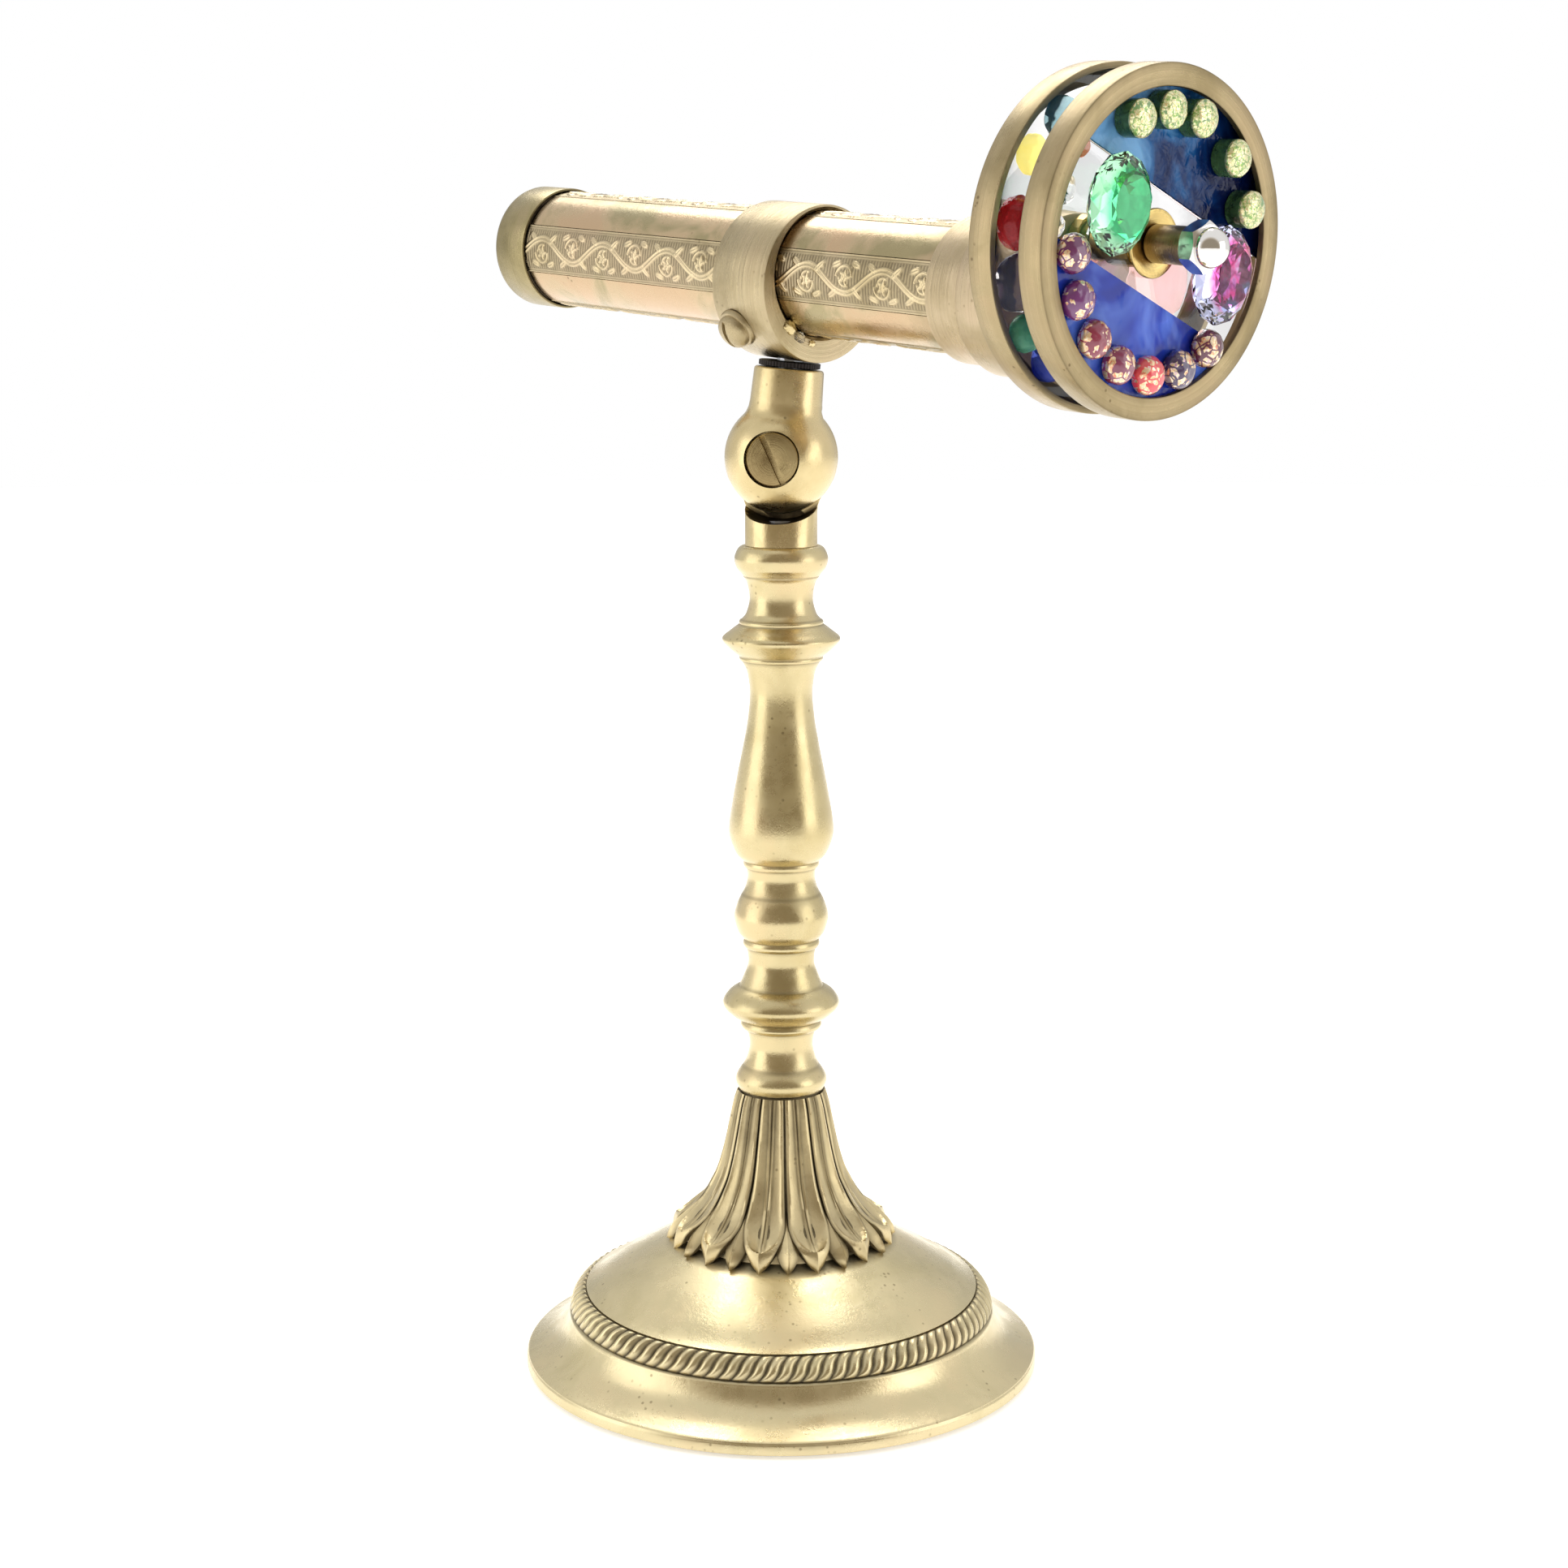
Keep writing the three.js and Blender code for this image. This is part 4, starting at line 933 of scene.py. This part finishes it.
def build_strips():
    x = np.arange(*STRIP_ENDS, STRIP_STEP)[:, None]
    y = np.linspace(-STRIP_HALF, STRIP_HALF, STRIP_POINTS)
    relief = strip_relief(x, y[None, :])
    level = STRIP_GROUND + STRIP_RELIEF * relief
    level[:, [0, -1]] = STRIP_SEAT
    level = np.hstack([level, np.full((len(x), 2), STRIP_SEAT - 0.5)])
    darkening = np.hstack([unit(0.72 - relief * 1.1), np.ones((len(x), 2))])
    for k, name in enumerate(("bottom", "far", "top", "side")):
        angle = np.append(y, y[[-1, 0]]) / TUBE_R + strip_heading(k)
        place(f"barrel_strip_{name}", loft(around_axis(x, level, angle)), HEAD, STRIP_BRASS,
              "engraved_brass", patina_and_painted_light=darkening.ravel(), sharp=math.pi)


def strip_heading(k):
    return (k - 1) * TAU / 4 + STRIP_TURN


# rows of [along, radius, darkness]; front lip and inner wall: painted shade of the gap
CAP_ROWS = [
    [-121.2, 6.2, 0.6], [-121.15, 8.5, 0.2], [-121.1, 15.6, 0.2], [-120.7, 16.9, 0.25],
    [-119.9, 17.7, 0.3], [-119.0, 17.95, 0.1], [-106.4, 17.95, 0], [-105.95, 17.85, 0],
    [-105.8, 17.6, 0.5], [-105.8, 17.25, 1], [-119.6, 17.2, 1], [-119.6, 6.0, 1],
]
COLLAR_ROWS = [
    [70.5, 17.25, 1], [70.5, 18.6, 0.4], [70.75, 18.95, 0], [71.1, 19.0, 0], [83.1, 19.0, 0],
    [83.3, 18.8, 1], [83.5, 19.1, 1], [83.5, 20.5, 0.3], [83.7, 20.85, 0], [84.1, 21.0, 0],
    [104.4, 21.0, 0], [104.8, 20.85, 0.1], [105, 20.5, 0.3], [105, 10.6, 0.5], [97.9, 10.6, 1],
    [97.9, 17.2, 1],
]


def build_barrel():
    build_tube()
    build_strips()
    cap, patina_and_painted_light = stained(CAP_ROWS, 128)
    place("eyepiece_end_cap", cap, HEAD, CAP_BRASS, "brass", "eyepiece_cap", patina_and_painted_light=patina_and_painted_light)
    collar, patina_and_painted_light = stained(COLLAR_ROWS, 144)
    place("object_end_collar", collar, HEAD, COLLAR_BRASS, "brass", "front_collar",
          patina_and_painted_light=patina_and_painted_light)


def build_tube():
    """Barrel tube, with a shallow channel under each strip."""
    # the third number darkens: painted shadow lines in the dips at the cap's and collar's edges
    outline = [[-119.3, 15.4, 1], [-119.3, 16.7, 1], [-107.4, 16.9, 1], [-106.4, 16.9, 1],
               [-106.2, 16.5, 1], [-105.3, 16.5, 1], [-104.9, 16.75, 0.9], [-104.6, 16.9, 0],
               [60, 16.9, 0], [69.9, 16.9, 0.2], [70.3, 16.7, 0.8], [71.5, 16.7, 1],
               [94.9, 16.9, 1], [94.9, 15.4, 1]]
    rows = []
    for a, b in zip(np.array(outline), np.array(outline[1:])):
        steps = max(1, int(abs(b[0] - a[0]) / 3))
        rows += [a + (b - a) * i / steps for i in range(steps)]
    rows = np.array([*rows, outline[-1]])
    steps = np.linspace(0, 1, 16, endpoint=False)
    half = STRIP_HALF / TUBE_R
    angle = np.concatenate([np.concatenate([[-half, -half + 0.001], -half + 2 * half * steps[1:],
                                            [half - 0.001], half + (TAU / 4 - 2 * half) * steps])
                            + strip_heading(k) for k in range(4)])
    in_strip = np.tile([0] + [1] * 17 + [0] * 16, 4).astype(bool)
    radius = np.where(in_strip[None, :] & (rows[:, 1:2] > 16), STRIP_SEAT, rows[:, 1:2])
    place("barrel", grid(around_axis(rows[:, :1], radius, angle), True, True), HEAD, BARREL_BRASS,
          "brass", "barrel_tube", patina_and_painted_light=np.repeat(rows[:, 2], len(angle)))


KNURL_TEETH = 56
KNURL_DEPTH = 0.28


def build_lock_ring():
    outline = np.array([[-26.2, 3.9], [-26.2, 8.0], [-26.0, 8.6], [-25.35, 8.6], [-24.7, 8.6],
                        [-24.5, 8.0], [-24.47, 3.9]])
    around = KNURL_TEETH * 6
    angle = np.arange(around) / around * TAU
    knurl = KNURL_DEPTH * np.abs(np.sin(angle * KNURL_TEETH / 2))[None, :] ** 0.7
    radius = outline[:, 1:] - np.where(outline[:, 1:] > 8.2, KNURL_DEPTH - knurl, 0)
    place("knurled_lock_ring", grid(around_axis(outline[:, :1], radius, angle, "z"), True, True),
          LOCK_RING, BLACKENED, "blackened_steel", "lock_ring")


# ---- wheels ------------------------------------------------------------------------------------

WHEEL_R = 42.36
OPENING_R = 36.72
WHEEL_HALF = 3.7
WALL_R = 40.66
GLASS_R = 40.36
BAND_HALF = 12.7
BEAD_RING_R = 31.3
HUB_R = 5.3                     # of the hole in each wheel's glass
AXLE_BORE = 3.47
BUSH_R = 5.0
FRONT_GLASS = (-1.9, -0.6)      # back and front of the front wheel's glass
COBALT_GLASS = (0.5, 1.8)
JEWEL_SIDES = 12
JEWEL_DISTANCE = 21
JEWEL_TILT = Matrix.Rotation(math.radians(17), 4, "X")


def rim(name, side, seat, node):
    """Rim of L section, with its flange on the front face (+1) or the rear face (-1)."""
    f = WHEEL_HALF * side
    shape, patina_and_painted_light = stained(
        [[-f, WALL_R, 0.3], [-f, WHEEL_R - 0.5, 0.3], [-f + 0.12 * side, WHEEL_R - 0.15, 0.2],
         [-f + 0.45 * side, WHEEL_R, 0], [0, WHEEL_R, 0], [f - 0.45 * side, WHEEL_R, 0.05],
         [f - 0.12 * side, WHEEL_R - 0.15, 0.5], [f, WHEEL_R - 0.5, 0.25], [f, 39.5, 0],
         [f, OPENING_R + 0.4, 0.15], [f - 0.12 * side, OPENING_R + 0.1, 0.5],
         [f - 0.4 * side, OPENING_R, 0.7], [f - 1.6 * side, OPENING_R, 0.5],
         [f - 1.6 * side, WALL_R, 0.35]], 192)
    place(name, shape, seat, WHEEL_BRASS, "brass", node, patina_and_painted_light=patina_and_painted_light)


def bush(name, front, seat, node):
    outline = tube(-WHEEL_HALF, front, BUSH_R, AXLE_BORE, 0.2)
    place(name, turned(outline, 48, closed=True), seat, HUB_BRASS, "brass", node)


def arc_points(start, end, count=60):
    return [[GLASS_R * math.cos(a), GLASS_R * math.sin(a)] for a in np.linspace(start, end, count)]


def jewel(height, half_long, half_wide):
    """Cut oval: pointed pavilion, thin girdle, two rows of crown facets and a flat table."""
    sides = JEWEL_SIDES
    turn = np.arange(sides) / sides * TAU
    # level and size of each row of corners, as parts of the whole, and its turn in sides
    rows = [(0.0, 0.42, 0.0), (0.30, 0.80, 0.5), (0.52, 1.0, 0.0), (0.60, 1.0, 0.0),
            (0.78, 0.86, 0.5), (0.93, 0.66, 0.0), (1.0, 0.58, 0.5)]
    verts, faces = [], []
    for level, size, offset in rows:
        angle = turn + offset * TAU / sides
        verts += [(level * height, half_wide * size * math.cos(a), half_long * size * math.sin(a))
                  for a in angle]
    for row in range(len(rows) - 1):
        twist = rows[row + 1][2] - rows[row][2]
        for i in range(sides):
            a, b = row * sides + i, row * sides + (i + 1) % sides
            c, d = a + sides, row * sides + sides + (i + 1) % sides
            if twist > 0:
                faces += [(a, b, c), (b, d, c)]
            elif twist < 0:
                faces += [(a, b, d), (a, d, c)]
            else:
                faces += [(a, b, d, c)]
    return np.array(verts), faces + end_caps(len(verts), sides)


def at_angle(shape, distance, degrees, seat=0.0):
    a = math.radians(degrees)
    return transformed(shape, Matrix.Translation((seat, distance * math.cos(a),
                                                  distance * math.sin(a))))


def dome(height, radius, wall, wobble, seed):
    """Cabochon: flat back, short wall and round dome, slightly uneven."""
    arc = [[height * (wall + (1 - wall) * math.sin(a)), radius * math.cos(a)]
           for a in np.linspace(0, TAU / 4, 12)]
    back = [[0, 0], [0, radius * 0.9], [height * 0.08, radius * 0.98]]
    verts, faces = turned([*back, *arc], 40)
    lift = np.array([noise.noise(Vector(v) * 0.35 + Vector((seed, 0, 0))) for v in verts])
    return verts * (1 - wobble * np.abs(lift))[:, None], faces


JEWELS = (
    # name, degrees, material, slot, node
    ("emerald_jewel", 177, GREEN_JEWEL, "green_glass", "front_green_jewel"),
    ("pink_jewel", 3, PINK_JEWEL, "pink_glass", "front_pink_jewel"),
)
JEWEL_LENGTH = 12.2             # from the middle, along the longer way
# painted highlight: the jewels lighten towards the girdle, one value per row of corners
JEWEL_RIM_LIGHT = (0.0, 0.1, 0.7, 0.8, 0.75, 0.3, 0.0)     # of each row of corners
ROD_BEAD_DEGREES = (135.5, 115.5, 94.5, 64.5, 39)
FOIL_BEAD_START, FOIL_BEAD_STEP = -152.5, 20.4      # degrees
FOIL_BEAD_BODIES = ((0.13, 0.02, 0.09), (0.16, 0.03, 0.15), (0.24, 0.02, 0.05),
                    (0.22, 0.03, 0.08), (0.75, 0.06, 0.07), (0.06, 0.03, 0.09),
                    (0.12, 0.02, 0.05))


def build_front_wheel():
    rim("front_rim", 1, FRONT_WHEEL, "front_wheel_rim")
    build_front_glass()
    for name, degrees, material, slot, node in JEWELS:
        shape = transformed(jewel(10.3, JEWEL_LENGTH, JEWEL_LENGTH * 0.85), JEWEL_TILT)
        place(name, at_angle(shape, JEWEL_DISTANCE, degrees, -0.25), FRONT_WHEEL, material, slot,
              node, patina_and_painted_light=np.repeat(JEWEL_RIM_LIGHT, JEWEL_SIDES), sharp=0.0)
    rng = random.Random(11)
    build_rod_beads(rng)
    build_foil_beads(rng)
    bush("front_bush", FRONT_GLASS[1], FRONT_WHEEL, "front_wheel_bush")


def build_front_glass():
    """Clear band across the wheel, with a coloured segment on each side of it."""
    half = math.asin((BAND_HALF - GAP) / GLASS_R)
    right, left = (arc_points(middle - half, middle + half, count=24) for middle in (0, math.pi))
    hole = turned([[-4, 0], [-4, HUB_R], [4, HUB_R], [4, 0]], 40)
    band = carve(plate([*right, *left], *FRONT_GLASS), ("DIFFERENCE", hole), bevel=0)
    place("front_clear_band", band, FRONT_WHEEL, CLEAR, "clear_glass", "front_band_glass")
    reach = math.acos(BAND_HALF / GLASS_R)
    upper, lower = (arc_points(middle - reach, middle + reach) for middle in (TAU / 4, -TAU / 4))
    place("front_navy_segment", plate(upper, *FRONT_GLASS), FRONT_WHEEL, NAVY, "teal_glass",
          "front_upper_glass")
    place("front_cobalt_segment", plate(lower, *COBALT_GLASS), FRONT_WHEEL, COBALT,
          "cobalt_glass", "front_lower_glass")


def build_rod_beads(rng):
    """Dark glass stems with a domed cap of green foil."""
    for i, degrees in enumerate(ROD_BEAD_DEGREES):
        stem = turned([[0, 0], [0, 4.3], [0.3, 4.6], [4.6, 4.65], [4.9, 4.4], [4.9, 0]], 40)
        place(f"rod_bead_{i + 1}_stem", at_angle(stem, BEAD_RING_R, degrees, -0.3), FRONT_WHEEL,
              ROD_GLASS, "green_foil_glass", f"green_bead_{i + 1}")
        cap = dome(2.6, 4.7, 0.25, wobble=0.08, seed=i)
        crackle = foil(f"green_foil_{i + 1}", (0.16, 0.30, 0.09),
                       ((0.38, (0.20, 0.38, 0.09)), (0.46, (0.74, 0.74, 0.28)),
                        (0.54, (0.97, 0.92, 0.62)), (0.63, (0.80, 0.58, 0.20))),
                       scale=820.0, crack=0.005, bare=0.6,
                       seed=tuple(rng.random() for _ in range(3)))
        place(f"rod_bead_{i + 1}_foil", at_angle(cap, BEAD_RING_R, degrees, 4.0), FRONT_WHEEL,
              crackle, "green_foil_glass")


def build_foil_beads(rng):
    for i, colour in enumerate(FOIL_BEAD_BODIES):
        crackle = foil(f"red_foil_{i + 1}", colour,
                       ((0.36, (0.80, 0.24, 0.16)), (0.46, GOLD), (0.57, PALE_GOLD),
                        (0.68, (0.66, 0.34, 0.62))),
                       seed=tuple(rng.random() for _ in range(3)))
        bead = dome(5.0, 4.9, 0.3, wobble=0.10, seed=i + 9)
        degrees = FOIL_BEAD_START + FOIL_BEAD_STEP * i
        place(f"foil_bead_{i + 1}", at_angle(bead, BEAD_RING_R, degrees, 2.1), FRONT_WHEEL,
              crackle, "red_foil_glass", f"red_bead_{i + 1}")


REAR_PIECES = (
    # node, height, radius, distance, degrees, material, slot
    ("rear_yellow_piece", 5.5, 5.0, 33.6, 148, YELLOW, "yellow_glass"),
    ("rear_red_piece", 7.0, 6.7, 31.0, 177, RED, "red_glass"),
    ("rear_clear_piece", 5.0, 7.2, 31.6, -157, SMOKE, "clear_glass"),
    ("rear_green_piece", 6.0, 4.8, 34.6, -136, GREEN, "green_glass"),
    ("rear_blue_piece", 5.0, 5.6, 33.6, -117, BLUE, "cobalt_glass"),
    ("rear_teal_piece", 5.0, 5.6, 33.4, 126, TEAL_PIECE, "teal_glass"),
    ("rear_pink_piece", 4.5, 11.0, 22.0, -24, PINK, "pink_glass"),
)
SMALL_PIECES = (
    # name, height, radius, y, z, material, slot
    ("rear_orange_chip", 4.0, 3.2, -13.5, 21.4, ORANGE, "red_glass"),
    ("rear_clear_marble_1", 6.0, 4.6, -19.5, 11.0, CLEAR, "clear_glass"),
    ("rear_clear_marble_2", 6.0, 3.8, -21.5, 2.0, SMOKE, "clear_glass"),
    ("rear_coral_chip", 3.5, 4.0, 6.0, 9.0, PINK, "pink_glass"),
)


def build_rear_wheel():
    rim("rear_rim", -1, REAR_WHEEL, "rear_wheel_rim")
    disc = tube(-1.8, -0.5, GLASS_R, HUB_R, 0.15)
    place("rear_disc", turned(disc, 128, closed=True), REAR_WHEEL, CLEAR, "clear_glass",
          "rear_wheel_glass")
    for i, (node, height, radius, distance, degrees, material, slot) in enumerate(REAR_PIECES):
        shape = dome(height, radius, 0.25, wobble=0.12, seed=i * 3 + 1)
        place(node.replace("_piece", "_cabochon"), at_angle(shape, distance, degrees, -0.2),
              REAR_WHEEL, material, slot, node)
    for i, (name, height, radius, y, z, material, slot) in enumerate(SMALL_PIECES):
        shape = transformed(dome(height, radius, 0.2, wobble=0.15, seed=i * 5 + 2),
                            Matrix.Translation((-0.2, y, z)))
        place(name, shape, REAR_WHEEL, material, slot)
    bush("rear_bush", WHEEL_HALF, REAR_WHEEL, "rear_wheel_bush")


NUT_FLATS = 11.1
NUT_REAR = 13.0
NUT_HEX = 4.6
NUT_DOME_R = 4.9


def build_hub():
    """Washer, sleeve and acorn nut, which don't turn with the front wheel."""
    washer = [[-0.1, 3.5], [-0.1, 8.2], [0.1, 8.4], [0.6, 8.4], [0.85, 8.2], [0.9, 7.9],
              [0.9, 6.2], [0.82, 6.0], [0.82, 3.5]]
    place("hub_bright_washer", turned(washer, 80, closed=True), HUB, HUB_BRASS, "brass",
          "hub_washer")
    place("hub_spacer_sleeve", turned(tube(1.2, 12.7, 4.65, AXLE_BORE, 0.25), 64, closed=True),
          HUB, SLEEVE_BRASS, "brass", "hub_sleeve")
    corner = NUT_FLATS / math.sqrt(3)
    rear, front = NUT_REAR, NUT_REAR + NUT_HEX
    hexagon = loft(around_axis(np.array([[rear], [front]]), corner,
                               (np.arange(6) + 0.5) * TAU / 6))
    chamfer = turned([[rear - 0.1, 0], [rear - 0.1, 5.5], [rear + 0.55, corner + 0.05],
                      [front - 0.75, corner + 0.05], [front + 0.05, 5.3], [front + 0.05, 0]], 96)
    arc = [[front + 0.1 + NUT_DOME_R * math.sin(a), NUT_DOME_R * math.cos(a)]
           for a in np.linspace(0, TAU / 4, 18)]
    cap = turned([[16.5, 0], [16.5, NUT_DOME_R], *arc], 96)
    nut = carve(hexagon, ("INTERSECT", chamfer), ("UNION", cap), bevel=0.08,
                sharp=math.radians(22))
    place("polished_acorn_nut", nut, HUB, NICKEL, "nickel", "acorn_nut")


def dress_cad_nodes():
    """Materials of the CAD nodes whose shape stays."""
    looks = {
        FELT: ["felt_pad"],
        STEEL: ["tie_rod", "tie_rod_washer", "tie_rod_nut", "knuckle_spring_washer", "ring_stud",
                "axle"],
        MIRROR: ["mirror_left", "mirror_right"],
        CARD: ["mirror_blank"],
        FOAM: ["mirror_packing"],
        LENS: ["eyepiece_lens", "end_window"],
        HUB_BRASS: ["rear_spacer", "middle_spacer"],
    }
    for material, names in looks.items():
        for name in names:
            data = frame["nodes"][name].data
            data.materials.clear()
            data.materials.append(material)


# ---- studio ------------------------------------------------------------------------------------

CAMERA_AT = Vector((0.5800, -0.4989, 0.30766))
CAMERA_HEADING = math.radians(-40.7)   # of the camera, seen from the column
CAMERA_DROP = math.radians(10.073)
TOWARD_CAMERA = Vector((math.cos(CAMERA_HEADING), math.sin(CAMERA_HEADING), 0))


def build_camera():
    data = bpy.data.cameras.new("camera")
    data.lens, data.sensor_width, data.shift_x = 62.42, 36.0, 0.0018
    data.clip_start, data.clip_end = 0.01, 50
    camera = linked("camera", data)
    forward = -TOWARD_CAMERA * math.cos(CAMERA_DROP) - Vector((0, 0, math.sin(CAMERA_DROP)))
    camera.location = CAMERA_AT
    camera.rotation_mode = "QUATERNION"
    camera.rotation_quaternion = forward.to_track_quat("-Z", "Y")
    bpy.context.scene.camera = camera


def softbox(name, heading, height, distance, size, power):
    """Square area light aimed at the middle of the object."""
    data = bpy.data.lights.new(name, "AREA")
    data.shape, data.size, data.energy = "SQUARE", size, power
    light = linked(name, data)
    angle = CAMERA_HEADING + math.radians(heading)
    light.location = (distance * math.cos(angle), distance * math.sin(angle), height)
    aim = Vector((0, 0, 0.2)) - light.location
    light.rotation_mode = "QUATERNION"
    light.rotation_quaternion = aim.to_track_quat("-Z", "Y")


DIM_SIDE_TINT = (1.12, 0.96, 0.74)     # of the world where the camera stands, as brass shows it


def build_world():
    """White studio: bright all round and overhead, darker on the side where the camera stands."""
    world = bpy.context.scene.world = bpy.data.worlds.new("studio")
    r = Recipe(world, "ShaderNodeOutputWorld")
    here = r.coordinates("Generated")
    ahead = r.vector("DOT_PRODUCT", here, TOWARD_CAMERA, output="Value")
    astern = r.vector("DOT_PRODUCT", here, -TOWARD_CAMERA, output="Value")
    shade = r.range(ahead, 0.45, 0.72, 0.92, 0.32)
    ray = r.add("ShaderNodeLightPath").outputs
    reflected = r.math("MULTIPLY", shade, r.range(astern, 0.55, 0.9, 1.0, 0.72))
    level = r.mix(ray["Is Transmission Ray"], reflected, shade)
    level = r.mix(ray["Is Camera Ray"], level, 1.0)
    unseen = r.math("SUBTRACT", r.range(ahead, 0.45, 0.72), ray["Is Camera Ray"], use_clamp=True)
    tint = r.blend(unseen, (1.0, 1.0, 1.0), DIM_SIDE_TINT)
    r.set(r.output.inputs[0], r.add("ShaderNodeBackground", tint, level).outputs[0])


def build_studio():
    build_world()
    softbox("softbox_left", -76, 0.45, 1.2, 0.9, 2.7)
    softbox("softbox_right", 70, 0.45, 1.2, 0.7, 1.9)
    softbox("softbox_top", 184, 1.25, 0.65, 0.85, 9.0)
    r = new_material("pale_floor")
    tone = r.blend(r.noise(r.coordinates(), 3.0), (0.93, 0.93, 0.93), (0.96, 0.96, 0.96))
    material = r.surface(Base_Color=tone, Roughness=0.9, Emission_Color=(1.0, 1.0, 1.0),
                         Emission_Strength=0.45)
    mesh = bpy.data.meshes.new("floor")
    verts, faces = turned([[0, 0], [0, 1000], [0, 4000]], 48, "z")
    mesh.from_pydata((verts * MM).tolist(), [], faces)
    mesh.materials.append(material)
    floor = linked("floor", mesh)
    floor.location.z = -0.0002
    bpy.context.scene.view_settings.view_transform = "Standard"


build_camera()
build_foot()
build_leaf_collar()
build_column()
build_knuckle()
build_clamp_ring()
build_barrel()
build_lock_ring()
build_rear_wheel()
build_front_wheel()
build_hub()
dress_cad_nodes()
build_studio()
